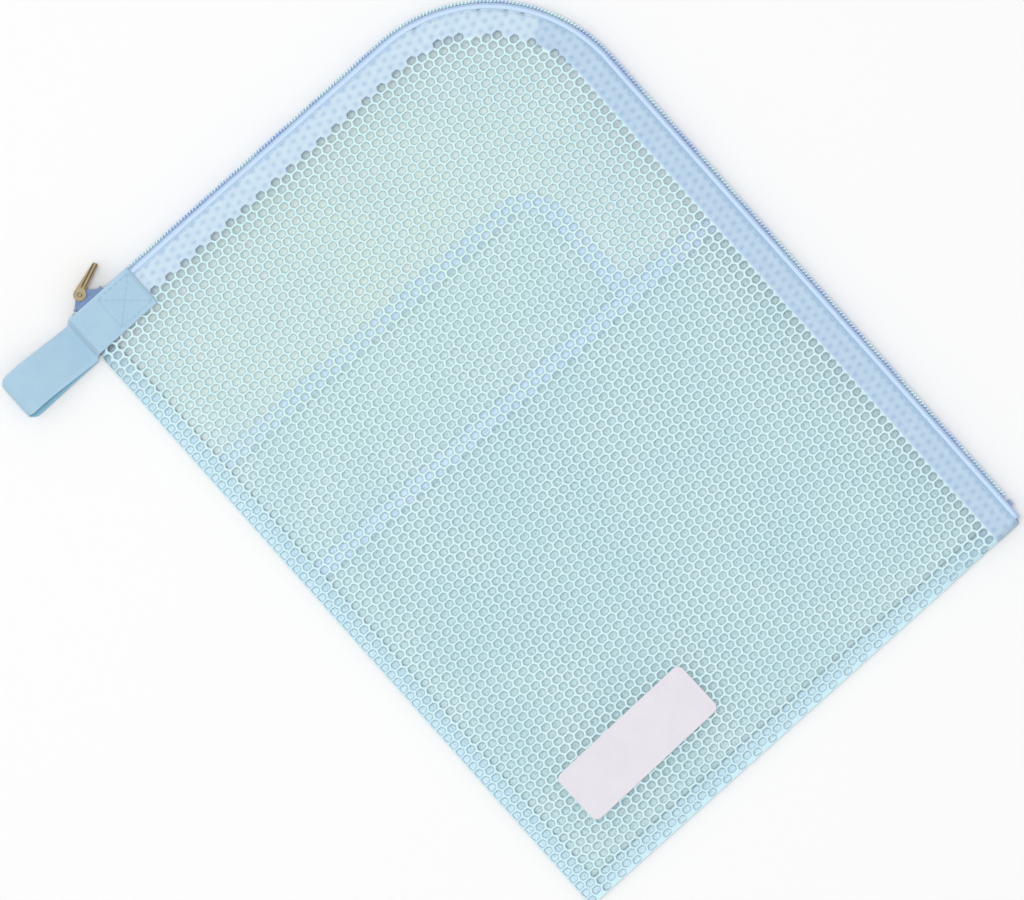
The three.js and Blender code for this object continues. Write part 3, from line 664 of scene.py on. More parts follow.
def flat_band(path, width, low, high):
    """A rounded flat section carried along a plan path, square to it."""
    tangent = np.gradient(path, axis=0)
    tangent /= np.linalg.norm(tangent, axis=1, keepdims=True)
    side = np.stack([-tangent[:, 1], tangent[:, 0]], axis=1)
    u, v = rounded_section(width, high - low)
    plan = path[:, None] + u[None, :, None] * side[:, None]
    z = np.broadcast_to((low + high) / 2 + v, plan.shape[:2])
    return capped_sweep(np.concatenate([plan, z[..., None]], axis=-1))


def straight_strip(start, end, width, low, high, step=4.0):
    """A flat band along the straight line between two plan points."""
    start = np.asarray(start, float)
    end = np.asarray(end, float)
    count = max(int(np.linalg.norm(end - start) / step), 2)
    share = np.linspace(0, 1, count + 1)
    return flat_band(start + share[:, None] * (end - start), width, low, high)


def slab(x, y, low, high):
    """A sheet with thickness on a plan grid: its top, its underside, and a wall round the edge."""
    rows, columns = x.shape
    top = np.stack([x, y, np.broadcast_to(high, x.shape)], axis=-1).reshape(-1, 3)
    under = np.stack([x, y, np.broadcast_to(low, x.shape)], axis=-1).reshape(-1, 3)
    faces = triangulated(grid_faces(rows, columns))
    count = rows * columns
    number = np.arange(count).reshape(rows, columns)
    edge = np.concatenate([number[0, :-1], number[:-1, -1], number[-1, :0:-1], number[:0:-1, 0]])
    ahead = np.roll(edge, -1)
    walls = np.stack([edge, edge + count, ahead + count, ahead], axis=1)
    both = np.concatenate([faces, faces[:, ::-1] + count, triangulated(walls)])
    return outwards(np.concatenate([top, under]), both)


# The outer mesh of the pouch


def net_surface(shape, sizes, inset, middle_height):
    """A net of round threads on a staggered lattice of holes.

    Hole (i, j) is centred at (i p, j q + (i odd) q / 2). Its cell is a hexagon with corners at
    (+-a, +-q / 2) and (+-b, 0), a + b = p, whose edges are the ridges of the threads, half the
    net's thickness above and below its middle. The hole is an ellipse at the middle height, and
    the thread's side runs from the ellipse up and down to the ridges. Corners past the outline
    are moved onto it, where a thin wall joins the two ridges. Along the zip the facing is pressed
    into the net, so a cell there is a shallow dimple with no hole.
    """
    pitch = sizes.column_pitch / MM
    step = sizes.row_pitch / MM
    columns = np.arange(-1, int(shape.width / pitch) + 3)
    rows = np.arange(-1, int(shape.length / step) + 3)
    i, j = (part.ravel() for part in np.meshgrid(columns, rows, indexing="ij"))
    start_x, start_y = LATTICE_START
    centre = np.stack([i * pitch + start_x, j * step + (i % 2) * step / 2 + start_y], axis=1)
    signs = np.array([[1, 0], [1, 1], [-1, 1], [-1, 0], [-1, -1], [1, -1]])
    reach = np.where(signs[:, 1] == 0, FAR_CORNER_SHARE, NEAR_CORNER_SHARE) * pitch
    hexagon = signs * np.column_stack([reach, np.full(CELL_CORNERS, step / 2)])
    corners = centre[:, None] + hexagon
    inside = net_depth(shape, corners[..., 0], corners[..., 1], inset) > ON_OUTLINE
    centre = centre[inside.any(axis=1)]
    holed = net_depth(shape, centre[:, 0], centre[:, 1], inset) > HOLE_MARGIN
    holed &= shape.inset_from_zip(centre[:, 0], centre[:, 1]) > PRESSED_BAND
    turn = np.arange(HOLE_POINTS) * np.pi / (HOLE_POINTS / 2)
    half_hole = np.array([sizes.hole_width, sizes.hole_length]) / MM / 2
    ellipse = np.stack([np.cos(turn), np.sin(turn)], axis=1) * half_hole
    corners = clamped_to_net(shape, centre[:, None] + hexagon, inset)
    rim = clamped_to_net(shape, centre[:, None] + ellipse, inset + RIM_MARGIN, RIM_MARGIN)
    rim = np.where(holed[:, None, None], rim, corners.mean(axis=1, keepdims=True))
    edge = net_depth(shape, corners[..., 0], corners[..., 1], inset) < ON_OUTLINE
    ridge = np.where(edge, EDGE_HALF, NET_THICKNESS / 2)
    corner_z = middle_height(corners[..., 0], corners[..., 1])
    rim_z = middle_height(rim[..., 0], rim[..., 1])
    flat = np.where(holed[:, None], 0, NET_THICKNESS / 2 - DIMPLE_DEPTH)
    rings = [
        np.concatenate([corners, (corner_z + ridge)[..., None]], axis=-1),
        np.concatenate([rim, (rim_z + flat)[..., None]], axis=-1),
        np.concatenate([corners, (corner_z - ridge)[..., None]], axis=-1),
        np.concatenate([rim, (rim_z - flat)[..., None]], axis=-1),
    ]
    points = np.concatenate(rings, axis=1).reshape(-1, 3)
    layer = CELL_CORNERS + HOLE_POINTS
    first = np.arange(len(centre)) * 2 * layer
    upper = cell_faces(0, CELL_CORNERS)
    lower = cell_faces(layer, layer + CELL_CORNERS)[:, ::-1]
    faces = np.concatenate([upper, lower])[None] + first[:, None, None]
    at, k = np.nonzero(edge & np.roll(edge, -1, axis=1))
    top, ahead = first[at] + k, first[at] + (k + 1) % CELL_CORNERS
    walls = np.stack([top + layer, ahead + layer, ahead, top], axis=1)
    return points, np.concatenate([faces.reshape(-1, 3), triangulated(walls)])


def cell_faces(corner, rim):
    """Triangles between the corners and twice as many rim points: rim point 2k faces corner k."""
    k = np.arange(CELL_CORNERS)
    ahead = (k + 1) % CELL_CORNERS
    before, on, after = (2 * k - 1) % HOLE_POINTS + rim, 2 * k + rim, 2 * k + 1 + rim
    fan = [[k + corner, on, before], [k + corner, after, on], [k + corner, ahead + corner, after]]
    return np.concatenate([np.stack(part, axis=1) for part in fan])


def net_depth(shape, x, y, inset):
    """How far a plan point lies inside the net's outline."""
    to_zip = shape.inset_from_zip(x, y) - inset
    return np.minimum(np.minimum(x, y), to_zip)


def clamped_to_net(shape, plan, inset, margin=0.0):
    """Plan points moved to the net's outline where they lie past it: to a side, or in to the arc."""
    x = np.clip(plan[..., 0], margin, shape.width - inset)
    y = np.clip(plan[..., 1], margin, shape.length - inset)
    centre_x = shape.width - shape.corner
    centre_y = shape.length - shape.corner
    away = np.maximum(np.hypot(x - centre_x, y - centre_y), 1e-9)
    radius = shape.corner - inset
    over = (x > centre_x) & (y > centre_y) & (away > radius)
    pull = np.where(over, radius / away, 1.0)
    return np.stack([centre_x + (x - centre_x) * pull, centre_y + (y - centre_y) * pull], axis=-1)


def finish_net(piece, shape, inset, middle_height):
    """Keeps the distance to the zip and the depth below the ridges on each vertex, in millimetres.

    The edges along the net's outline are made sharp.
    """
    mesh = piece.data
    places = np.empty(len(mesh.vertices) * 3)
    mesh.vertices.foreach_get("co", places)
    places = places.reshape(-1, 3) / MM
    plan = places[:, :2] + np.array([shape.width, shape.length]) / 2
    to_zip = shape.inset_from_zip(plan[:, 0], plan[:, 1])
    below = middle_height(plan[:, 0], plan[:, 1]) + NET_THICKNESS / 2 - places[:, 2]
    for name, value in (("to_zip", to_zip), ("below_ridge", below)):
        kept = mesh.attributes.new(name, "FLOAT", "POINT")
        kept.data.foreach_set("value", value.astype(np.float32))
    at_edge = net_depth(shape, plan[:, 0], plan[:, 1], inset) < 2 * ON_OUTLINE
    ends = np.empty(len(mesh.edges) * 2, dtype=np.int32)
    mesh.edges.foreach_get("vertices", ends)
    sharp = at_edge[ends.reshape(-1, 2)].all(axis=1)
    mesh.attributes.new("sharp_edge", "BOOLEAN", "EDGE").data.foreach_set("value", sharp)


# Shader maths


class Value:
    """A shader socket that can stand in an expression: each operation adds its Math node."""

    def __init__(self, shader, socket):
        """Keeps the socket and the shader whose tree it stands in."""
        self.shader = shader
        self.socket = socket

    def math(self, operation, *values):
        """A Math node of these values, in the order that the node takes them."""
        sockets = dict(enumerate(values))
        return self.shader.node("ShaderNodeMath", {"operation": operation}, sockets)

    def __add__(self, other):
        return self.math("ADD", self, other)

    def __radd__(self, other):
        return self.math("ADD", other, self)

    def __sub__(self, other):
        return self.math("SUBTRACT", self, other)

    def __rsub__(self, other):
        return self.math("SUBTRACT", other, self)

    def __mul__(self, other):
        return self.math("MULTIPLY", self, other)

    def __rmul__(self, other):
        return self.math("MULTIPLY", other, self)

    def beside(self, output):
        """Another output of the node that gave this value."""
        return Value(self.shader, self.socket.node.outputs[output])

    def sine(self):
        """Its sine, the value in radians."""
        return self.math("SINE", self)

    def absolute(self):
        """Its size without its sign."""
        return self.math("ABSOLUTE", self)

    def larger(self, other):
        """The larger of the two."""
        return self.math("MAXIMUM", self, other)

    def share(self, start, end):
        """0 at start, 1 at end, smooth between and held beyond."""
        inputs = {"Value": self, "From Min": start, "From Max": end, "To Min": 0.0, "To Max": 1.0}
        return self.shader.node("ShaderNodeMapRange", {"interpolation_type": "SMOOTHSTEP"}, inputs)


class Shader:
    """The node tree of a material or of the world, built from expressions on its sockets."""

    def __init__(self, owner):
        """An empty node tree for its owner, a material or a world."""
        owner.use_nodes = True
        self.owner = owner
        self.tree = owner.node_tree
        self.tree.nodes.clear()

    def node(self, kind, settings=None, inputs=None, output=0):
        """A node of a kind: its settings first, then the values or links of its sockets."""
        made = self.tree.nodes.new(kind)
        for name, value in (settings or {}).items():
            setattr(made, name, value)
        for name, value in (inputs or {}).items():
            if isinstance(value, Value):
                self.tree.links.new(value.socket, made.inputs[name])
            else:
                made.inputs[name].default_value = value
        return Value(self, made.outputs[output]) if made.outputs else None

    def place(self):
        """Where a point lies, as its X, Y and Z in millimetres on the pouch's own corner."""
        coordinates = self.node("ShaderNodeTexCoord", output="Object")
        x = self.node("ShaderNodeSeparateXYZ", inputs={0: coordinates}, output="X")
        y, z = x.beside("Y"), x.beside("Z")
        sizes = bpy.context.scene.bag_sizes
        middle_x, middle_y = sizes.width / MM / 2, sizes.length / MM / 2
        return x * (1 / MM) + middle_x, y * (1 / MM) + middle_y, z * (1 / MM)

    def noise(self, size, detail=3.0, stretch=(1, 1, 1)):
        """Cloudy noise whose features are about a size in millimetres, stretched along an axis."""
        coordinates = self.node("ShaderNodeTexCoord", output="Object")
        spread = [1 / MM / size / part for part in stretch]
        mapping = self.node("ShaderNodeMapping", inputs={"Vector": coordinates, "Scale": spread})
        inputs = {"Vector": mapping, "Scale": 1.0, "Detail": detail}
        return self.node("ShaderNodeTexNoise", inputs=inputs)

    def mix(self, factor, first, second, blend="MIX"):
        """A colour mixed by a factor from the first colour to the second."""
        settings = {"data_type": "RGBA", "blend_type": blend, "clamp_factor": True}
        inputs = {MIX_FACTOR: factor, MIX_FIRST: opaque(first), MIX_SECOND: opaque(second)}
        return self.node("ShaderNodeMix", settings, inputs, output=MIX_COLOUR)

    def bump(self, height, distance_mm, strength=0.6):
        """The surface's normal, tilted by a height whose full step is a distance in millimetres."""
        inputs = {"Height": height, "Distance": distance_mm * MM, "Strength": strength}
        return self.node("ShaderNodeBump", inputs=inputs)

    def finish(self, colour, roughness, normal=None, alpha=None, **constants):
        """The Principled surface: varying sockets linked, constants set on it directly."""
        inputs = {"Base Color": opaque(colour), "Roughness": roughness}
        if normal is not None:
            inputs["Normal"] = normal
        if alpha is not None:
            inputs["Alpha"] = alpha
        inputs.update({name.replace("_", " "): value for name, value in constants.items()})
        surface = self.node("ShaderNodeBsdfPrincipled", inputs=inputs)
        self.node("ShaderNodeOutputMaterial", inputs={"Surface": surface})
        return self.owner


def new_shader(name):
    """The shader of a new material."""
    return Shader(bpy.data.materials.new(name))


def opaque(colour):
    """A plain colour with a full fourth part; a Value stays as it is."""
    return colour if isinstance(colour, Value) else (*colour[:3], 1.0)


def shade(colour, factor):
    """A colour made lighter or darker."""
    return tuple(min(part * factor, 1.0) for part in colour[:3])


def tinted(colour, tint):
    """A colour times a tint."""
    return tuple(min(part * by, 1.0) for part, by in zip(colour[:3], tint))


# Materials of the pouch


def soft_zone(place, zone):
    """1 at a zone's middle on the pouch, falling smoothly to 0 over its reach across and along."""
    x, y, _ = place
    centre, reach = zone
    across = (x - centre[0]) * (1 / reach[0])
    along = (y - centre[1]) * (1 / reach[1])
    return 1 - (across * across + along * along).share(0.0, 1.0)


def thread_material(context):
    """Soft knitted threads: bluer at the sewn edges, greener in the middle, with fine fibres.

    Along the zip they take the colours of the facings pressed behind them, with painted shade in the dimples: the
    deeper below the ridges, the darker.
    """
    colour = context.scene.bag_colours.thread
    shader = new_shader("thread")
    place = shader.place()
    x, y, _ = place
    middle = soft_zone(place, GREEN_ZONE)
    edges = (1 - x.share(*BLUE_EDGE)).larger(1 - y.share(*BLUE_EDGE))
    cloud = shader.noise(30, detail=2)
    base = shader.mix(cloud.share(0.35, 0.65), tinted(colour, (0.93, 0.97, 0.985)), colour)
    green = shader.mix(middle * 0.8, base, tinted(colour, (0.985, 0.99, 0.95)))
    blue = shader.mix(edges * 0.8, green, tinted(colour, (0.90, 0.97, 1.03)))
    to_zip = shader.node("ShaderNodeAttribute", {"attribute_name": "to_zip"}, output="Fac")
    band = 1 - to_zip.share(BAND_START, BAND_END)
    facing = context.scene.bag_colours.facing
    short_side = tinted(facing, (1.03, 0.97, 0.89))
    long_side = tinted(facing, (0.82, 0.82, 0.81))
    shape = pouch_shape(context)
    across_lap = (x - shape.short_run) * math.cos(LAP_TURN)
    along_lap = (y - shape.length + shape.corner) * math.sin(LAP_TURN)
    past_lap = (across_lap - along_lap).share(-0.5, 0.5)
    along_zip = shader.mix(past_lap, short_side, long_side)
    speckle = shader.noise(3.0, detail=3)
    speckled = shader.mix(speckle.share(0.35, 0.7) * 0.7, along_zip, (1.12, 1.09, 1.03), "MULTIPLY")
    below_ridge = shader.node("ShaderNodeAttribute", {"attribute_name": "below_ridge"}, output="Fac")
    # Painted shade: the pressed cells turn darker the deeper they lie below the ridges.
    dimple = below_ridge.share(0.05, DIMPLE_DEPTH)
    dimple_shaded = shader.mix(dimple, speckled, (0.72, 0.80, 0.88), "MULTIPLY")
    pressed = shader.mix(band * 0.9, blue, dimple_shaded)
    fibre = shader.noise(0.35, detail=2, stretch=(1, 3, 1))
    worn = shader.mix(fibre.share(0.3, 0.7) * 0.4, pressed, (0.94, 0.96, 0.97), "MULTIPLY")
    rough = 0.66 + fibre * 0.2
    normal = shader.bump(fibre, 0.12)
    return shader.finish(worn, rough, normal, Sheen_Weight=0.15)


def sheer_dots(place, pitch, row_pitch):
    """The open spots of a fine net: products of sines on the lattice's own staggered pitch."""
    x, y, _ = place
    across = (x * (math.pi / pitch)).sine()
    along = (y * (math.pi / row_pitch)).sine()
    return (across * along).absolute()


def lining_material(context):
    """Sheer lining: a fine open net over the back one, whose spots show as darker dots."""
    colours = context.scene.bag_colours
    shader = new_shader("lining")
    place = shader.place()
    middle = soft_zone(place, PALE_LINING_ZONE)
    calm = soft_zone(place, CALM_ZONE)
    dots = sheer_dots(place, *LINING_SPOTS)
    cloud = shader.noise(42, detail=3)
    base = shader.mix(middle, colours.lining, tinted(colours.lining, (1.0, 1.0, 0.95)))
    paler = shader.mix(calm * 0.8, base, shade(colours.lining, 1.08))
    greyer = tinted(colours.lining, (0.91, 0.94, 0.97))
    clouded = shader.mix(cloud.share(0.35, 0.7) * 0.6, paler, greyer)
    spot = tinted(colours.lining, (0.84, 0.91, 0.92))
    spotted = shader.mix(dots.share(0.45, 0.95) * 0.5, clouded, spot)
    weave = shader.noise(0.5, detail=2)
    return shader.finish(spotted, 0.7 + weave * 0.15, shader.bump(weave, 0.08))


def pocket_material(context, name, tint, alpha):
    """Sheer pocket cloth: a fine net whose spots let the layer behind show through."""
    colour = tinted(context.scene.bag_colours.pocket, tint)
    shader = new_shader(name)
    place = shader.place()
    dots = sheer_dots(place, *POCKET_SPOTS)
    cloud = shader.noise(35, detail=3)
    base = shader.mix(cloud.share(0.35, 0.7) * 0.6, colour, tinted(colour, (0.96, 0.98, 0.99)))
    spotted = shader.mix(dots.share(0.4, 0.95) * 0.5, base, tinted(colour, (0.88, 0.94, 0.96)))
    weave = shader.noise(0.5, detail=2)
    see_through = alpha - dots.share(0.5, 0.95) * 0.12
    return shader.finish(spotted, 0.68 + weave * 0.15, shader.bump(weave, 0.08), see_through)


def woven(place, warp, weft):
    """Height of a plain weave: the higher of two sets of sine ridges, across and along."""
    x, y, _ = place
    over = (x * (2 * math.pi / warp)).sine()
    under = (y * (2 * math.pi / weft)).sine()
    return over.larger(under)


def cloth_material(name, colour, warp, weft, mottle=0.5):
    """Woven cloth: ridges of warp and weft, soft clouds of colour and paler, and a painted highlight on the high
    threads.
    """
    shader = new_shader(name)
    place = shader.place()
    ridges = woven(place, warp, weft)
    cloud = shader.noise(6, detail=4)
    broad = shader.noise(40, detail=2)
    base = shader.mix(cloud.share(0.35, 0.65) * mottle, colour, tinted(colour, (0.9, 0.94, 0.97)))
    wide = shader.mix(broad.share(0.4, 0.65) * mottle, base, shade(colour, 1.06))
    # Painted highlight: the crests of the weave are paler.
    threads = shader.mix(ridges.share(0.2, 0.95) * 0.35, wide, shade(colour, 1.12))
    height = ridges * 0.7 + cloud * 0.3
    normal = shader.bump(height, 0.08)
    return shader.finish(threads, 0.6 + cloud * 0.15, normal, Sheen_Weight=0.2)


def leather_material(context):
    """Smooth imitation leather: fine pebble grain with painted shade in its creases, and soft clouds of colour."""
    colour = context.scene.bag_colours.label
    shader = new_shader("label_leather")
    coordinates = shader.node("ShaderNodeTexCoord", output="Object")
    inputs = {"Vector": coordinates, "Scale": 1 / MM / 0.9, "Randomness": 0.9}
    pebble = shader.node("ShaderNodeTexVoronoi", {"feature": "DISTANCE_TO_EDGE"}, inputs)
    cloud = shader.noise(9, detail=3)
    base = shader.mix(cloud.share(0.35, 0.65) * 0.5, colour, tinted(colour, (0.95, 0.95, 0.97)))
    # Painted shade: darker along the edges of the grain's cells, in its creases.
    crease_shaded = shader.mix((1 - pebble.share(0.0, 0.12)) * 0.25, base, shade(colour, 0.88))
    normal = shader.bump(pebble.share(0.0, 0.25), 0.05, 0.5)
    return shader.finish(crease_shaded, 0.42 + cloud * 0.15, normal, Coat_Weight=0.1)


def coil_material(context):
    """Nylon coil: glossy wire with soft clouds of a paler colour."""
    colour = context.scene.bag_colours.coil
    shader = new_shader("zip_coil")
    cloud = shader.noise(12, detail=2)
    base = shader.mix(cloud.share(0.3, 0.7), colour, shade(colour, 1.35))
    fine = shader.noise(0.4, detail=1)
    return shader.finish(base, 0.38 + fine * 0.15, shader.bump(fine, 0.02), Coat_Weight=0.1)


def paint_material(context):
    """Enamel over cast metal: a faint orange-peel bump, paler in patches as if rubbed."""
    colour = context.scene.bag_colours.slider
    shader = new_shader("slider_enamel")
    peel = shader.noise(0.7, detail=2)
    rub = shader.noise(3.0, detail=4)
    base = shader.mix(rub.share(0.55, 0.75), colour, shade(colour, 1.5))
    return shader.finish(base, 0.3 + rub * 0.2, shader.bump(peel, 0.03), Metallic=0.35, Coat_Weight=0.4)


def gold_material(context):
    """Thin gold plate: brushed, with browner clouds, painted shade in a groove along the pull, and fine ribs."""
    colour = context.scene.bag_colours.gold
    shader = new_shader("gold_plate")
    brushed = shader.noise(0.5, detail=3, stretch=(4, 1, 1))
    cloud = shader.noise(2.2, detail=3)
    base = shader.mix(cloud.share(0.4, 0.7) * 0.7, colour, tinted(colour, (0.72, 0.68, 0.66)))
    x, y, _ = shader.place()
    from_pin_x, from_pin_y = x - PULL_PIN[0], y - PULL_PIN[1]
    forward, sideways = math.cos(PULL_TURN), math.sin(PULL_TURN)
    reach = from_pin_x * forward + from_pin_y * sideways
    aside = (from_pin_y * forward - from_pin_x * sideways).absolute()
    groove = aside.share(0.25, 0.45) * (1 - aside.share(1.0, 1.25)) * reach.share(2.6, 3.6)
    # Painted shade: the groove, two bands either side of the pull's middle, is darkened.
    groove_shade = shader.mix(groove * 0.9, base, tinted(colour, (0.3, 0.27, 0.26)))
    ribs = (reach * (2 * math.pi / 1.6)).sine() * aside.share(0.9, 1.4)
    height = brushed * 0.3 - groove + ribs * 0.5
    return shader.finish(groove_shade, 0.28 + brushed * 0.25, shader.bump(height, 0.12), Metallic=1.0)


def stop_material(context):
    """Painted metal stops, in patches of darker and paler paint."""
    colour = context.scene.bag_colours.tape
    shader = new_shader("stop_metal")
    rub = shader.noise(0.8, detail=3)
    base = shader.mix(rub.share(0.45, 0.7), shade(colour, 0.7), colour)
    return shader.finish(base, 0.35 + rub * 0.2, shader.bump(rub, 0.03), Metallic=0.5)


def floor_material():
    """Pale paper for the floor, with a broad faint grain."""
    shader = new_shader("floor_paper")
    grain = shader.noise(60, detail=2)
    return shader.finish((0.84, 0.84, 0.84), 0.85 + grain * 0.1)


# The net panels


def sagged_middle(shape):
    """Height of the front net's middle, with shallow waves where it lies level."""

    def height(x, y):
        """The middle less depth (0.5 + 0.5 sin sin), with none near the seams, zip and label."""
        level = smoothstep(shape.rise(x, y), 0.8, 1.0)
        clear = smoothstep(shape.inset_from_zip(x, y), SAG_START, SAG_FULL)
        wave = 0.5 + 0.5 * np.sin(x / 31 + y / 57) * np.sin(y / 43 - x / 90 + 1.2)
        from_label = np.hypot((x - LEVEL_MIDDLE[0]) / LEVEL_ASPECT, y - LEVEL_MIDDLE[1])
        clear = clear * smoothstep(from_label, *LEVEL_REACH)
        return shape.front_middle(x, y) - SAG_DEPTH * wave * level * clear

    return height


def across_fold():
    """Start and end of the bend over the fold line, in metres about the frame's origin."""
    middle = (FOLD_TOP + FOLD_FOOT) / 2
    direction = (FOLD_FOOT - FOLD_TOP) / np.linalg.norm(FOLD_FOOT - FOLD_TOP)
    outward = np.array([-direction[1], direction[0]])
    ends = [middle, middle + FOLD_ROLL * outward]
    start, end = to_frame([[*end, FOLD_HEIGHT] for end in ends])
    return {"start": tuple(start), "end": tuple(end)}


class BAG_OT_net_panels(Operator):
    """Front and back panels of open mesh"""

    bl_idname = "bag.net_panels"
    bl_label = "Net Panels"

    def execute(self, context):
        shape = pouch_shape(context)
        sizes = context.scene.bag_sizes
        material = thread_material(context)
        sagged = sagged_middle(shape)
        front_surface = net_surface(shape, sizes, FRONT_NET_INSET, sagged)
        front = make_piece("front_net", front_surface, material, "mesh")
        finish_net(front, shape, FRONT_NET_INSET, sagged)
        replaced = ["front_panel", "front_panel_left_edge", "front_panel_foot_edge", "front_panel_flap"]
        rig.replaces(front, *replaced)
        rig.blend(front, "bag", "mouth_flap", **across_fold())

        def level(x, y):
            """Height of the back net's middle, the same all over."""
            return np.full_like(x, BACK_NET_MIDDLE)

        back_surface = net_surface(shape, sizes, BACK_NET_INSET, level)
        back = make_piece("back_net", back_surface, material, "mesh")
        finish_net(back, shape, BACK_NET_INSET, level)
        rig.replaces(back, "back_panel")
        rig.ride(back, "bag")
        declare_net(front, shape, FRONT_NET_INSET, ["wide_pocket_cloth"])
        declare_net(back, shape, BACK_NET_INSET, [])
        return {"FINISHED"}


def flat_size(shape, margin, inset):
    """Width, length and area, in metres, of a sheet from a margin at the sewn edges to the zip.

    The area is the rectangle's, less (1 - pi / 4) r^2 at the round corner.
    """
    width = shape.width - margin - inset
    length = shape.length - margin - inset
    lost = (1 - math.pi / 4) * (shape.corner - inset) ** 2
    return width * MM, length * MM, (width * length - lost) * MM * MM


def declare_net(piece, shape, inset, rests_on):
    """The net as a stretched sheet: the flat area of its threads, without its holes."""
    width, length, area = flat_size(shape, 0, inset)
    threads = THREAD_SHARE * area
    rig.sheet(piece, flat=(width, length), held="stretched", rests_on=rests_on, area=threads)


# Cloth layers


def outline_grid(shape, left, foot, inset, steps=48):
    """A plan grid inside the zip line: rows from the left edge to the zip, bunched at the corner."""
    top = shape.length - inset
    radius = shape.corner - inset
    turn = np.linspace(0, np.pi / 2, steps // 2)
    straight = np.linspace(foot, top - radius, steps)
    rows = np.concatenate([straight[:-1], top - radius + radius * np.sin(turn)])
    past = np.clip(rows - top + radius, 0, radius)
    right = shape.width - inset - radius + np.sqrt(radius**2 - past**2)
    share = np.linspace(0, 1, steps)
    x = left + share[None, :] * (right - left)[:, None]
    return x, np.broadcast_to(rows[:, None], x.shape)


def rectangle_grid(left, foot, right, top, step=4.0):
    """A plan grid over a rectangle."""
    across = np.linspace(left, right, int((right - left) / step) + 2)
    along = np.linspace(foot, top, int((top - foot) / step) + 2)
    return np.meshgrid(across, along)


def crumpled(x, y, depth, phase):
    """Shallow waves of soft cloth: depth times the product of two crossed sines."""
    return depth * np.sin(x / 17 + phase) * np.sin(y / 23 - x / 41 + 2 * phase)


class BAG_OT_lining(Operator):
    """Sheer lining of the back"""

    bl_idname = "bag.lining"
    bl_label = "Lining"

    def execute(self, context):
        shape = pouch_shape(context)
        x, y = outline_grid(shape, SEAM_INSET, SEAM_INSET, LINING_INSET)
        low, high = LINING_LAYER
        wave = crumpled(x, y, LINING_WAVE, 0.4)
        surface = slab(x, y, low + wave, high + wave)
        piece = make_piece("lining_cloth", surface, lining_material(context), "lining")
        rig.replaces(piece, "back_lining")
        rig.ride(piece, "bag")
        width, length, area = flat_size(shape, SEAM_INSET, LINING_INSET)
        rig.sheet(piece, flat=(width, length), held="laid", rests_on=["back_net"], area=area)
        return {"FINISHED"}


class BAG_OT_pockets(Operator):
    """Divider, low and wide pocket sheets with their hems"""

    bl_idname = "bag.pockets"
    bl_label = "Pockets"

    def execute(self, context):
        hem = context.scene.bag_sizes.hem_width / MM
        hem_cloth = cloth_material("pocket_hem", context.scene.bag_colours.hem, 0.9, 0.9, mottle=0.6)
        cloth = pocket_material(context, "divider_net", tint=(1.0, 1.0, 1.0), alpha=0.95)
        size = (DIVIDER_SIDE - hem, DIVIDER_MOUTH - hem)
        divider = self.sheet("divider_cloth", size, DIVIDER_LAYER, cloth)
        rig.replaces(divider, "divider_pocket")
        binding = make_piece("divider_edge", divider_edge(hem), hem_cloth, "hem")
        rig.replaces(binding, "divider_pocket_binding")
        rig.ride(binding, "bag")
        self.declare(divider, size, "lining_cloth", binding)
        cloth = pocket_material(context, "low_net", tint=(0.98, 0.99, 1.0), alpha=0.92)
        size = (LOW_POCKET_SIDE, LOW_POCKET_MOUTH - hem)
        low = self.sheet("low_pocket_cloth", size, LOW_POCKET_LAYER, cloth)
        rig.replaces(low, "low_pocket")
        low_hem = self.hem(context, "low_pocket_mouth", size, LOW_POCKET_LAYER, hem_cloth)
        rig.replaces(low_hem, "low_pocket_hem")
        self.declare(low, size, "divider_cloth", low_hem)
        cloth = pocket_material(context, "wide_net", tint=(0.97, 0.99, 1.0), alpha=0.86)
        size = (WIDE_POCKET_SIDE, WIDE_POCKET_MOUTH - hem)
        wide = self.sheet("wide_pocket_cloth", size, WIDE_POCKET_LAYER, cloth)
        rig.replaces(wide, "wide_pocket")
        wide_hem = self.hem(context, "wide_pocket_mouth", size, WIDE_HEM_LAYER, hem_cloth)
        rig.replaces(wide_hem, "wide_pocket_hem")
        self.declare(wide, size, "low_pocket_cloth", wide_hem)
        return {"FINISHED"}

    def sheet(self, name, size, layer, material):
        """A soft sheet from the seams to its side and to the foot of its hem."""
        x, y = rectangle_grid(SEAM_INSET, SEAM_INSET, *size)
        wave = crumpled(x, y, POCKET_WAVE, len(name))
        surface = slab(x, y, layer[0] + wave, layer[1] + wave)
        piece = make_piece(name, surface, material, "pocket_sheet")
        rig.ride(piece, "bag")
        return piece

    def hem(self, context, name, size, layer, material):
        """A folded hem over the top of a sheet, with a row of stitches near each of its sides."""
        width = context.scene.bag_sizes.hem_width / MM
        pitch = context.scene.bag_sizes.stitch_length / MM
        side, foot = size
        middle = foot + width / 2
        band = straight_strip((SEAM_INSET, middle), (side, middle), width, *layer)
        start, end = SEAM_INSET + HEM_SEAM_END, side - HEM_SEAM_END
        rows = [
            line_of_stitches((start, y), (end, y), layer[1], pitch)
            for y in (foot + HEM_SEAM_INSET, foot + width - HEM_SEAM_INSET)
        ]
        piece = make_piece(name, joined(band, *rows), material, "hem")
        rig.ride(piece, "bag")
        return piece

    def declare(self, piece, size, under, sewn):
        """The sheet's flat size, what it lies on, and the hem sewn to it."""
        flat = [round((part - SEAM_INSET) * MM, 6) for part in size]
        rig.sheet(piece, flat=tuple(flat), held="laid", rests_on=[under], with_pieces=[sewn])


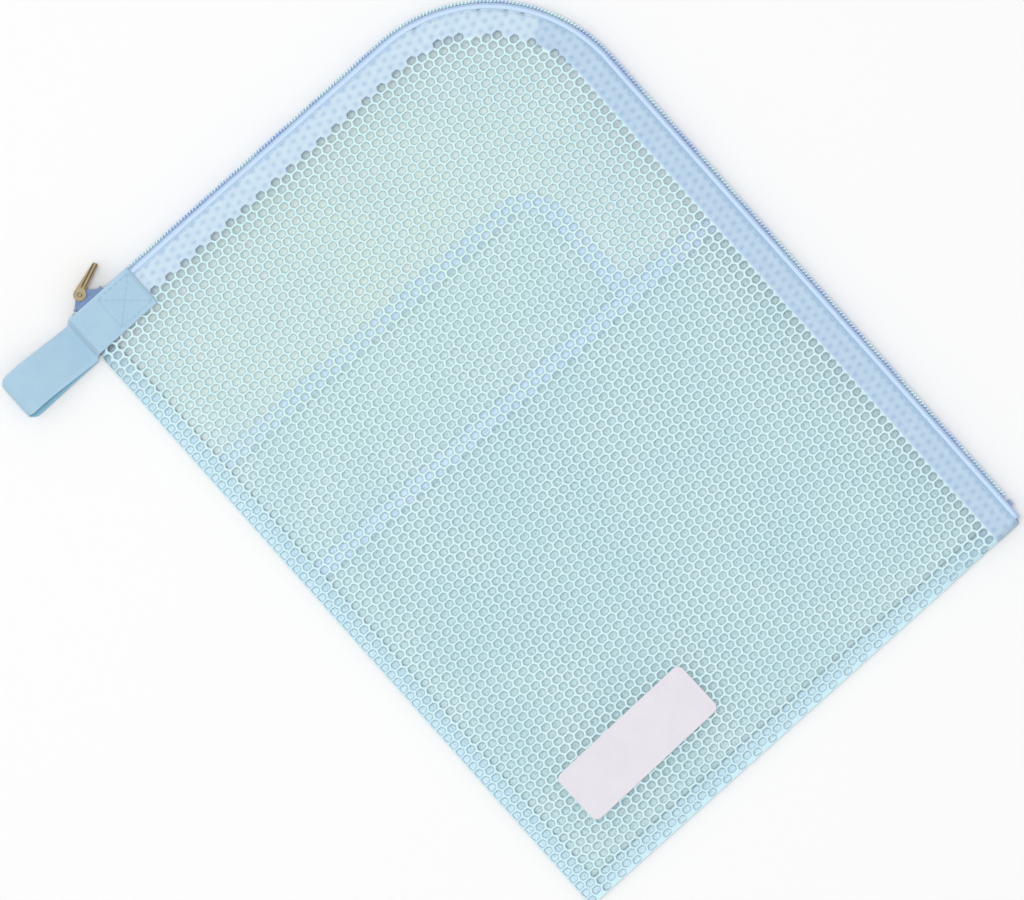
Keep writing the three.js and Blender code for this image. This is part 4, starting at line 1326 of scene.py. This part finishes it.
def divider_edge(hem):
    """The divider's bound edge: a flat section up its side, round its corner and along its mouth."""
    half = hem / 2
    radius = DIVIDER_CORNER - half
    edge, mouth = DIVIDER_SIDE - half, DIVIDER_MOUTH - half
    turn = np.linspace(0, np.pi / 2, DIVIDER_CORNER_POINTS)
    side_y = np.linspace(SEAM_INSET, mouth - radius, DIVIDER_SIDE_POINTS)[:-1]
    top_x = np.linspace(edge - radius, SEAM_INSET, DIVIDER_SIDE_POINTS)[1:]
    x = np.concatenate([np.full(len(side_y), edge), edge - radius + radius * np.cos(turn), top_x])
    y = np.concatenate([side_y, mouth - radius + radius * np.sin(turn), np.full(len(top_x), mouth)])
    return flat_band(np.stack([x, y], axis=1), hem, *DIVIDER_BINDING_LAYER)


# Sewing


def stitches(centre, direction, length, thickness):
    """Stitches of thread: each a slim spindle, two rings of points between two tips.

    Tips stand at -+length / 2 along the direction, and the rings at -+length / 4 with the
    thread's half thickness, flattened in height.
    """
    centre = np.asarray(centre, float)
    forward = direction / np.linalg.norm(direction, axis=1, keepdims=True)
    side = np.cross([0, 0, 1], forward)
    side /= np.maximum(np.linalg.norm(side, axis=1, keepdims=True), 1e-9)
    up = np.cross(forward, side)
    sides = STITCH_SIDES
    turn = np.arange(sides) * np.pi / (sides / 2)
    flat_circle = [np.zeros(sides), np.cos(turn), STITCH_FLATNESS * np.sin(turn)]
    ring = np.stack(flat_circle, axis=1) * thickness / 2
    quarter = np.array([length / 4, 0, 0])
    tips = np.array([[-length / 2, 0, 0], [length / 2, 0, 0]])
    template = np.concatenate([ring - quarter, ring + quarter, tips])
    axes = np.stack([forward, side, up], axis=1)
    points = centre[:, None] + np.einsum("pk,nkc->npc", template, axes)
    i = np.arange(sides)
    ahead = (i + 1) % sides
    first_tip, last_tip = np.full(sides, 2 * sides), np.full(sides, 2 * sides + 1)
    parts = [
        [i, i + sides, ahead + sides],
        [i, ahead + sides, ahead],
        [first_tip, i, ahead],
        [last_tip, ahead + sides, i + sides],
    ]
    faces = np.concatenate([np.stack(part, axis=1) for part in parts])
    every = faces[None] + (np.arange(len(centre)) * len(template))[:, None, None]
    return outwards(points.reshape(-1, 3), every.reshape(-1, 3))


def line_of_stitches(start, end, height, pitch):
    """A straight row of stitches lying on a surface at a height."""
    start, end = np.asarray(start, float), np.asarray(end, float)
    count = max(int(np.linalg.norm(end - start) / pitch), 2)
    share = (np.arange(count) + 0.5) / count
    plan = start + share[:, None] * (end - start)
    centre = np.column_stack([plan, np.full(count, height + STITCH_THREAD * 0.15)])
    direction = np.tile([*(end - start), 0.0], (count, 1))
    return stitches(centre, direction, pitch * STITCH_SHARE, STITCH_THREAD)


def zip_stitches(shape, start, end, inset, height, pitch):
    """A row of stitches at an inset from the zip line, each aimed a short step along it."""
    along = np.arange(start, end, pitch)
    x, y = shape.on_zip_line(along, -inset)
    ahead_x, ahead_y = shape.on_zip_line(along + 0.1, -inset)
    centre = np.stack([x, y, np.full_like(x, height)], axis=1)
    direction = np.stack([ahead_x - x, ahead_y - y, np.zeros_like(x)], axis=1)
    return stitches(centre, direction, pitch * STITCH_SHARE, EDGE_SEAM_THREAD)


class BAG_OT_bindings(Operator):
    """Bindings over the raw edges of the two sewn seams"""

    bl_idname = "bag.bindings"
    bl_label = "Seam Bindings"

    def execute(self, context):
        colour = tinted(context.scene.bag_colours.hem, (0.94, 0.98, 0.90))
        material = cloth_material("seam_binding", colour, 0.8, 0.8, mottle=0.6)
        pitch = context.scene.bag_sizes.stitch_length / MM
        low, high = BINDING_LAYER
        start, end = LEFT_BINDING_ENDS
        left = straight_strip((BINDING_MIDDLE, start), (BINDING_MIDDLE, end), BINDING_WIDTH, low, high)
        start, end = LEFT_SEAM_ENDS
        top = high - BINDING_SEAM_SINK
        rows = [line_of_stitches((x, start), (x, end), top, pitch) for x in BINDING_SEAMS]
        self.place("left_binding", joined(left, *rows), material, "left_seam_binding")
        start, end = FOOT_BINDING_ENDS
        foot = straight_strip((start, BINDING_MIDDLE), (end, BINDING_MIDDLE), BINDING_WIDTH, low, high)
        start, end = FOOT_SEAM_ENDS
        rows = [line_of_stitches((start, y), (end, y), top, pitch) for y in BINDING_SEAMS]
        self.place("foot_binding", joined(foot, *rows), material, "foot_seam_binding")
        return {"FINISHED"}

    def place(self, name, surface, material, node):
        """One binding and its seams, in the place of its CAD node."""
        piece = make_piece(name, surface, material, "hem")
        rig.replaces(piece, node)
        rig.ride(piece, "bag")


class BAG_OT_facings(Operator):
    """Facing tapes along the zip, lapped on its corner, and the folded edge of the front panel"""

    bl_idname = "bag.facings"
    bl_label = "Zip Facings"

    def execute(self, context):
        shape = pouch_shape(context)
        width = context.scene.bag_sizes.facing_width / MM
        colour = context.scene.bag_colours.facing
        paler = tinted(colour, (1.1, 1.06, 1.02))
        short_cloth = cloth_material("facing_pale", paler, 0.7, 0.7, mottle=0.9)
        long_cloth = cloth_material("facing_blue", colour, 0.7, 0.7, mottle=0.7)
        # Painted highlight: the folded edge is a little paler than the facing.
        fold_highlight_colour = tinted(colour, (1.03, 1.02, 1.0))
        edge_cloth = cloth_material("folded_edge", fold_highlight_colour, 0.6, 0.6, mottle=0.3)
        lap = shape.short_run + shape.corner * LAP_TURN
        start, end = FACING_END, shape.zip_length - FACING_END
        strip = zip_strip(shape, BACK_FACING_START, end, FACING_INSET, width, *BACK_FACING_LAYER)
        back = make_piece("back_facing_cloth", strip, long_cloth, "facing")
        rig.replaces(back, "back_facing")
        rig.ride(back, "bag")
        self.declare(back, end - BACK_FACING_START, width, "lining_cloth")
        short_nodes = ["front_facing_slider_end", "front_facing_short"]
        long_nodes = ["front_facing_long", "front_facing_foot_end"]
        parts = [
            ("facing_short", start, lap, short_cloth, short_nodes),
            ("facing_long", lap + LAP_STEP, end, long_cloth, long_nodes),
        ]
        for name, first, last, cloth, nodes in parts:
            strip = zip_strip(shape, first, last, FACING_INSET, width, *FRONT_FACING_LAYER)
            piece = make_piece(name, strip, cloth, "facing")
            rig.replaces(piece, *nodes)
            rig.blend(piece, "bag", "mouth_flap", **across_fold())
            self.declare(piece, last - first, width, "zip_front_tape")
        edge = make_piece("folded_edge", self.folded_edge(context, shape), edge_cloth, "mesh")
        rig.blend(edge, "bag", "mouth_flap", **across_fold())
        return {"FINISHED"}

    def folded_edge(self, context, shape):
        """The front panel's edge, folded under along the zip, and the seam that holds it."""
        pitch = context.scene.bag_sizes.stitch_length / MM
        low, high = (shape.height + part for part in FOLDED_EDGE_HEIGHTS)
        start, end = FOLDED_EDGE_END, shape.zip_length - FOLDED_EDGE_END
        fold = zip_strip(shape, start, end, FOLDED_EDGE_INSET, FOLDED_EDGE_WIDTH, low, high)
        start, end = EDGE_SEAM_START, shape.zip_length - FACING_END
        height = shape.height + EDGE_SEAM_RISE
        rows = zip_stitches(shape, start, end, EDGE_SEAM_INSET, height, pitch)
        return joined(fold, rows)

    def declare(self, piece, length, width, under):
        """The facing's flat size and what it lies on."""
        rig.sheet(piece, flat=(round(width * MM, 6), length * MM), held="laid", rests_on=[under])


# Zip


def tape_surface(shape, side, start, end, step=2.0):
    """One zip tape: upright beside the coil, then a quarter turn over a shoulder towards the panel.

    The centre line stands at the tape's inset from the coil's edge to the shoulder, and there it
    turns a quarter of a circle of the shoulder's radius about the shoulder's inset. The section
    is the same line moved out by half the tape's thickness, and back along it moved in by as much.
    """
    along = np.unique(np.concatenate([np.arange(start, end, step), [end]]))
    turn = np.linspace(0, np.pi / 2, SHOULDER_POINTS)
    outer, inner = SHOULDER_RADIUS + TAPE_HALF, SHOULDER_RADIUS - TAPE_HALF
    shoulder = shape.net_underside_top - SHOULDER_GAP - outer - shape.zip_middle
    edge = TAPE_EDGE + shape.spread(along)
    turn_back = turn[::-1]
    foot = [-TAPE_INSET - TAPE_HALF, TAPE_HALF - TAPE_INSET]
    outer_out, inner_out = outer * np.cos(turn), inner * np.cos(turn_back)
    outward = np.concatenate([foot, outer_out - SHOULDER_INSET, inner_out - SHOULDER_INSET])
    outer_up, inner_up = outer * np.sin(turn), inner * np.sin(turn_back)
    height = np.concatenate([[0, 0], shoulder + outer_up, shoulder + inner_up])
    heights = np.tile(height, (len(along), 1))
    heights[:, :2] = edge[:, None]
    x, y = shape.on_zip_line(along[:, None], outward[None, :])
    return capped_sweep(np.stack([x, y, shape.zip_middle + side * heights], axis=-1))


def coil_surface(shape, sizes, side, start, end):
    """A round wire wound about its row: out = reach sin - inset, height = middle + half height cos.

    The angle grows by a full turn each pitch along the zip. The back row starts half a pitch on,
    so that each row's turns lie in the other's gaps. The wire is a thin tube of a few sides.
    """
    pitch = sizes.coil_pitch / MM
    radius = sizes.coil_wire / MM / 2
    turns = int((end - start) / pitch)
    t = np.arange(turns * COIL_RINGS + 1) / COIL_RINGS
    along = start + (t + (0.5 if side < 0 else 0.0)) * pitch
    angle = 2 * np.pi * t

    def wound(reach, half_height):
        """Points of the winding, or of its axis where the reach and the half height are none."""
        x, y = shape.on_zip_line(along, reach * np.sin(angle) - COIL_INSET)
        height = COIL_MIDDLE + shape.spread(along) + half_height * np.cos(angle)
        return np.stack([x, y, shape.zip_middle + side * height], axis=-1)

    line = wound(COIL_REACH, COIL_HALF_HEIGHT)
    tangent = np.gradient(line, axis=0)
    tangent /= np.linalg.norm(tangent, axis=1, keepdims=True)
    radial = line - wound(0, 0)
    radial -= np.einsum("ij,ij->i", radial, tangent)[:, None] * tangent
    radial /= np.linalg.norm(radial, axis=1, keepdims=True)
    across = np.cross(tangent, radial)
    corner = np.arange(WIRE_SIDES) * np.pi / (WIRE_SIDES / 2)
    out = np.cos(corner)[None, :, None] * radial[:, None]
    beside = np.sin(corner)[None, :, None] * across[:, None]
    return capped_sweep(line[:, None] + radius * (out + beside))


class BAG_OT_zip(Operator):
    """Zip tapes, coils and stops"""

    bl_idname = "bag.zip"
    bl_label = "Zip"

    def execute(self, context):
        shape = pouch_shape(context)
        sizes = context.scene.bag_sizes
        tape_cloth = cloth_material("zip_tape", context.scene.bag_colours.tape, 0.6, 0.9, mottle=0.3)
        coil = coil_material(context)
        start, end = ZIP_END, shape.zip_length - ZIP_END
        tape = tape_surface(shape, -1, start, end)
        back_tape = make_piece("zip_back_tape", tape, tape_cloth, "zip_tape")
        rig.replaces(back_tape, "back_tape")
        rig.ride(back_tape, "bag")
        tape = tape_surface(shape, 1, start, end)
        front_tape = make_piece("zip_front_tape", tape, tape_cloth, "zip_tape")
        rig.replaces(front_tape, "front_tape_slider_end", "front_tape_flap", "front_tape_foot_end")
        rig.blend(front_tape, "bag", "mouth_flap", **across_fold())
        last = shape.zip_length - COIL_END
        half_turn = sizes.coil_pitch / MM / 2
        row = coil_surface(shape, sizes, -1, COIL_START, last - half_turn)
        back = make_piece("zip_back_coil", row, coil, "zip_teeth")
        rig.replaces(back, "back_teeth_short_run", "back_teeth_long_run")
        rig.ride(back, "bag")
        row = coil_surface(shape, sizes, 1, COIL_START, last)
        front = make_piece("zip_front_coil", row, coil, "zip_teeth")
        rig.replaces(front, "front_teeth_slider_end", "front_teeth_short_run", "front_teeth_long_run")
        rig.blend(front, "bag", "mouth_flap", **across_fold())
        dress(stop_material(context), "top_stop_front", "top_stop_back", "bottom_stop")
        return {"FINISHED"}


def dress(material, *nodes):
    """A better material on CAD nodes whose shape stays."""
    for node in nodes:
        for slot in frame["nodes"][node].material_slots:
            slot.material = material


class BAG_OT_slider(Operator):
    """Enamelled slider and its gold pull"""

    bl_idname = "bag.slider"
    bl_label = "Slider and Pull"

    def execute(self, context):
        dress(paint_material(context), "slider_body")
        dress(gold_material(context), "pull_bar", "pull_pin")
        return {"FINISHED"}


# Ribbon loop and label


def ribbon_path(shape):
    """The ribbon's centre line in X and Z, with its slip along Y, from its sewn end round the loop.

    Tail: z follows the top of the panel, a little above it. Loop: at a part p of its length,
    z = middle +- (gap (1 - p) + bulge p^1.2 sqrt(1 - p^8)), out along the upper layer and back
    along the lower one. The lower a point of the loop lies, the further it slips from the zip.
    """
    share = np.linspace(0, 1, TAIL_POINTS)
    tail_x = TAIL_START + TAIL_LENGTH * (1 - share) ** 1.6
    panel_top = shape.front_underside(tail_x - TAIL_START, RIBBON_MIDDLE_Y) + NET_THICKNESS
    tail_z = panel_top + TAIL_LIFT + LAYER_HALF_GAP
    part = np.sin(np.linspace(0, np.pi / 2, LOOP_POINTS))
    bulge = LOOP_BULGE * part**1.2 * np.sqrt(np.maximum(1 - part**8, 0))
    half = LAYER_HALF_GAP * (1 - part) + bulge
    middle = lerp(SEAM_MIDDLE, LOOP_MIDDLE, np.minimum(part / LOOP_RISE_SHARE, 1))
    loop_x = RIBBON_ROOT - LOOP_LENGTH * part
    x = np.concatenate([tail_x, loop_x, loop_x[-2::-1]])
    z = np.concatenate([tail_z, middle + half, (middle - half)[-2::-1]])
    upper = np.clip((SLIP_TOP - middle - half) / SLIP_FALL, 0, 1)
    lower = np.clip((SLIP_TOP - middle + half) / SLIP_FALL, 0, 1)[-2::-1]
    slip = -LOOP_SLIP * np.concatenate([np.zeros(len(share)), upper, lower])
    return x, z, slip


def ribbon_surface(shape, width):
    """A rounded flat section along the ribbon's path, square to it, narrower at the loop's far end."""
    x, z, slip = ribbon_path(shape)
    far = smoothstep(-x, *LOOP_ROUNDING) ** 2
    step_x, step_z = np.gradient(x), np.gradient(z)
    size = np.maximum(np.hypot(step_x, step_z), 1e-9)
    normal_x, normal_z = -step_z / size, step_x / size
    u, v = rounded_section(width, RIBBON_THICKNESS)
    narrowed = 1 - LOOP_NARROWING * far
    along_y = RIBBON_MIDDLE_Y + slip[:, None] + u[None, :] * narrowed[:, None]
    ring_x = x[:, None] + v[None, :] * normal_x[:, None]
    ring_z = z[:, None] + v[None, :] * normal_z[:, None]
    return capped_sweep(np.stack([ring_x, along_y, ring_z], axis=-1))


def ribbon_material(context):
    """Fine twill ribbon: slanting ridges with painted highlights, a smooth paler selvedge, and painted shade in a
    darker blue-green on the loop's lower layer, under the upper one.
    """
    colour = context.scene.bag_colours.ribbon
    shader = new_shader("ribbon_twill")
    x, y, z = shader.place()
    twill = ((x + y * 0.7) * (2 * math.pi / 0.9)).sine()
    ribs = (x * (2 * math.pi / 0.5)).sine()
    cloud = shader.noise(7, detail=4)
    from_middle = (y - RIBBON_MIDDLE_Y).absolute()
    selvedge = from_middle.share(*RIBBON_SELVEDGE)
    middle = LOOP_MIDDLE - x.share(-26.0, RIBBON_ROOT) * (LOOP_MIDDLE - SEAM_MIDDLE)
    inside = 1 - (z - middle).share(-0.4, 0.4)
    out_of_seam = 1 - x.share(-6.0, -3.0)
    base = shader.mix(cloud.share(0.35, 0.65) * 0.6, colour, tinted(colour, (0.93, 0.96, 0.98)))
    pale = shader.mix(selvedge * 0.35, base, shade(colour, 1.12))
    # Painted shade: the lower layer of the loop, under the upper one, turns a darker blue-green.
    lower_layer_shade = shader.mix(inside * out_of_seam * 0.9, pale, tinted(colour, (0.62, 0.9, 0.95)))
    # Painted highlight: the crests of the twill are paler.
    lit = shader.mix(twill.share(0.0, 1.0) * 0.25, lower_layer_shade, shade(colour, 1.1))
    height = (twill * 0.6 + ribs * 0.2 + cloud * 0.4) * (1 - selvedge * 0.6)
    return shader.finish(lit, 0.55 + cloud * 0.15, shader.bump(height, 0.07), Sheen_Weight=0.2)


class BAG_OT_ribbon(Operator):
    """Ribbon of the hanging loop, with its sewn tail"""

    bl_idname = "bag.ribbon"
    bl_label = "Ribbon Loop"

    def execute(self, context):
        shape = pouch_shape(context)
        width = context.scene.bag_sizes.ribbon_width / MM
        twill = ribbon_material(context)
        ribbon = make_piece("ribbon", ribbon_surface(shape, width), twill, "ribbon")
        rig.replaces(ribbon, "ribbon_tail", "hang_loop")
        start, end = to_frame([[x, RIBBON_MIDDLE_Y, LOOP_BEND_HEIGHT] for x in LOOP_BEND])
        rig.blend(ribbon, "bag", "hang_loop", start=tuple(start), end=tuple(end))
        thread = cloth_material("sewing_thread", shade(context.scene.bag_colours.ribbon, 1.1), 0.4, 0.4)
        sewing = make_piece("ribbon_sewing", self.seam(context, shape), thread, "ribbon")
        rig.ride(sewing, "bag")
        flat = (width * MM, RIBBON_FLAT_LENGTH * MM)
        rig.sheet(ribbon, flat=flat, held="folded", rests_on=["front_net"], with_pieces=[sewing])
        return {"FINISHED"}

    def seam(self, context, shape):
        """The box of stitches on the tail, with a cross from corner to corner."""
        pitch = context.scene.bag_sizes.stitch_length / MM
        left, right = RIBBON_SEAM_SIDES
        foot, top = RIBBON_SEAM_ENDS
        corners = [(left, foot), (right, foot), (right, top), (left, top)]
        sides = zip(corners, corners[1:] + corners[:1])
        lines = [*sides, (corners[0], corners[2]), (corners[1], corners[3])]
        height = shape.height + RIBBON_SEAM_ABOVE
        return joined(*[line_of_stitches(start, end, height, pitch) for start, end in lines])


def label_surface(sizes):
    """A rectangle with round corners, in rings from its edge to its middle.

    A ring at a place in from the edge is the rectangle of the arcs' centres plus a quarter circle
    of what is left of the corner's radius. LABEL_SECTION says how far each ring lies below the
    top: it drops round the rim and again in the pressed line.
    """
    half = np.array([sizes.label_width, sizes.label_height]) / MM / 2
    low, high = LABEL_LAYER
    count = LABEL_POINTS
    turn = np.arange(count) * np.pi / (count / 2) + np.pi / count
    quadrant = np.stack([np.sign(np.cos(turn)), np.sign(np.sin(turn))], axis=1)
    arc = np.stack([np.cos(turn), np.sin(turn)], axis=1)
    rings = []
    for place, drop in LABEL_SECTION:
        radius = max(LABEL_CORNER - place, 0.0)
        core = np.maximum(half - max(place, LABEL_CORNER), LABEL_CORE)
        plan = quadrant * core + arc * radius
        rings.append(np.column_stack([plan, np.full(count, high - LABEL_CROWN - drop)]))
    rim = rings[0].copy()
    rim[:, 2] = low
    rings = np.stack([rim, *rings])
    forward, sideways = math.cos(LABEL_TURN), math.sin(LABEL_TURN)
    turning = np.array([[forward, sideways], [-sideways, forward]])
    rings[..., :2] = rings[..., :2] @ turning + np.array(LABEL_MIDDLE)
    return capped_sweep(rings)


class BAG_OT_label(Operator):
    """Bare label sewn near the foot"""

    bl_idname = "bag.label"
    bl_label = "Label"

    def execute(self, context):
        surface = label_surface(context.scene.bag_sizes)
        piece = make_piece("label_plain", surface, leather_material(context), "label")
        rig.replaces(piece, "label_patch")
        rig.ride(piece, "bag")
        return {"FINISHED"}


# Stage

FLOOR_HALF = 3.0
FLOOR_DROP_MM = 0.3
SKY_LEVEL = 0.67
CAMERA_HEIGHT = 2.464
CAMERA_LENS = 200.0
CAMERA_PLACE = (-0.0202, 0.0)
CAMERA_TURN = math.radians(-41.8)


class BAG_OT_stage(Operator):
    """White floor, soft light and the camera"""

    bl_idname = "bag.stage"
    bl_label = "Stage"

    def execute(self, context):
        scene = context.scene
        scene.view_settings.view_transform = "Standard"
        half = FLOOR_HALF
        corners = np.array([[-half, -half], [half, -half], [half, half], [-half, half]]) / MM
        points = np.column_stack([corners, np.full(len(corners), -FLOOR_DROP_MM)])
        floor = make_mesh("floor", points, np.array([[0, 1, 2, 3]]), smooth=False)
        floor.data.materials.append(floor_material())
        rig.stage(floor)
        self.light_world(scene)
        self.add_lamp("overhead", place=(-0.15, 0.2, 3.0), size=1.1, power=40.0)
        self.add_lamp("window", place=(-1.6, 1.4, 2.6), size=2.4, power=12.0)
        camera = bpy.data.objects.new("camera", bpy.data.cameras.new("camera"))
        camera.data.lens = CAMERA_LENS
        camera.data.sensor_width = 36.0
        camera.data.clip_end = 20.0
        camera.location = (*CAMERA_PLACE, CAMERA_HEIGHT)
        camera.rotation_euler = (0.0, 0.0, CAMERA_TURN)
        scene.collection.objects.link(camera)
        scene.camera = camera
        return {"FINISHED"}

    def light_world(self, scene):
        """An even white sky, which the camera and reflections see at full white."""
        shader = Shader(bpy.data.worlds.new("studio"))
        by_camera = shader.node("ShaderNodeLightPath", output="Is Camera Ray")
        seen = by_camera.larger(by_camera.beside("Is Glossy Ray"))
        inputs = {"Value": seen, "To Min": SKY_LEVEL, "To Max": 1.0}
        level = shader.node("ShaderNodeMapRange", inputs=inputs)
        inputs = {"Color": (1.0, 1.0, 1.0, 1.0), "Strength": level}
        background = shader.node("ShaderNodeBackground", inputs=inputs)
        shader.node("ShaderNodeOutputWorld", inputs={"Surface": background})
        scene.world = shader.owner

    def add_lamp(self, name, place, size, power):
        """A square soft lamp that looks at the middle of the pouch."""
        lamp = bpy.data.lights.new(name, "AREA")
        lamp.size = size
        lamp.energy = power
        holder = bpy.data.objects.new(name, lamp)
        x, y, z = place
        flat = math.hypot(x, y)
        holder.location = place
        holder.visible_glossy = False
        holder.rotation_euler = (math.atan2(flat, z), 0.0, math.atan2(y, x) + math.pi / 2)
        bpy.context.scene.collection.objects.link(holder)


class BAG_PT_sidebar(Panel):
    """The bag's sizes, colours and pieces"""

    bl_idname = "BAG_PT_sidebar"
    bl_label = "Document Organiser Bag"
    bl_space_type = "VIEW_3D"
    bl_region_type = "UI"
    bl_category = "Bag"

    def draw(self, context):
        """Two columns of properties, then a button for each piece."""
        scene = context.scene
        for heading, group in (("Sizes", scene.bag_sizes), ("Colours", scene.bag_colours)):
            column = self.layout.column(align=True)
            column.label(text=heading)
            for name in group.__annotations__:
                column.prop(group, name)
        column = self.layout.column(align=True)
        column.label(text="Pieces")
        for operator in PIECES:
            column.operator(operator.bl_idname)


PIECES = (
    BAG_OT_stage,
    BAG_OT_net_panels,
    BAG_OT_lining,
    BAG_OT_pockets,
    BAG_OT_bindings,
    BAG_OT_facings,
    BAG_OT_zip,
    BAG_OT_slider,
    BAG_OT_ribbon,
    BAG_OT_label,
)
CLASSES = (BagSizes, BagColours, *PIECES, BAG_PT_sidebar)


def register():
    """Registers the classes, and hangs the sizes and colours on the scene."""
    for each in CLASSES:
        bpy.utils.register_class(each)
    bpy.types.Scene.bag_sizes = PointerProperty(type=BagSizes)
    bpy.types.Scene.bag_colours = PointerProperty(type=BagColours)


def unregister():
    """Takes all of it back."""
    del bpy.types.Scene.bag_colours
    del bpy.types.Scene.bag_sizes
    for each in reversed(CLASSES):
        bpy.utils.unregister_class(each)


def box_as_lists(box):
    """A box's lowest and highest corners as plain lists."""
    return [[float(part) for part in corner] for corner in box]


def main(cad_box):
    register()
    bpy.ops.bag.stage()
    bpy.ops.bag.net_panels()
    bpy.ops.bag.lining()
    bpy.ops.bag.pockets()
    bpy.ops.bag.bindings()
    bpy.ops.bag.facings()
    bpy.ops.bag.zip()
    bpy.ops.bag.slider()
    bpy.ops.bag.ribbon()
    bpy.ops.bag.label()
    with open(SIZE_FILE, "w") as file:
        json.dump({"cad": box_as_lists(cad_box), "visual": box_as_lists(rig.bounds())}, file)


if __name__ == "__main__":
    main(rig.bounds())
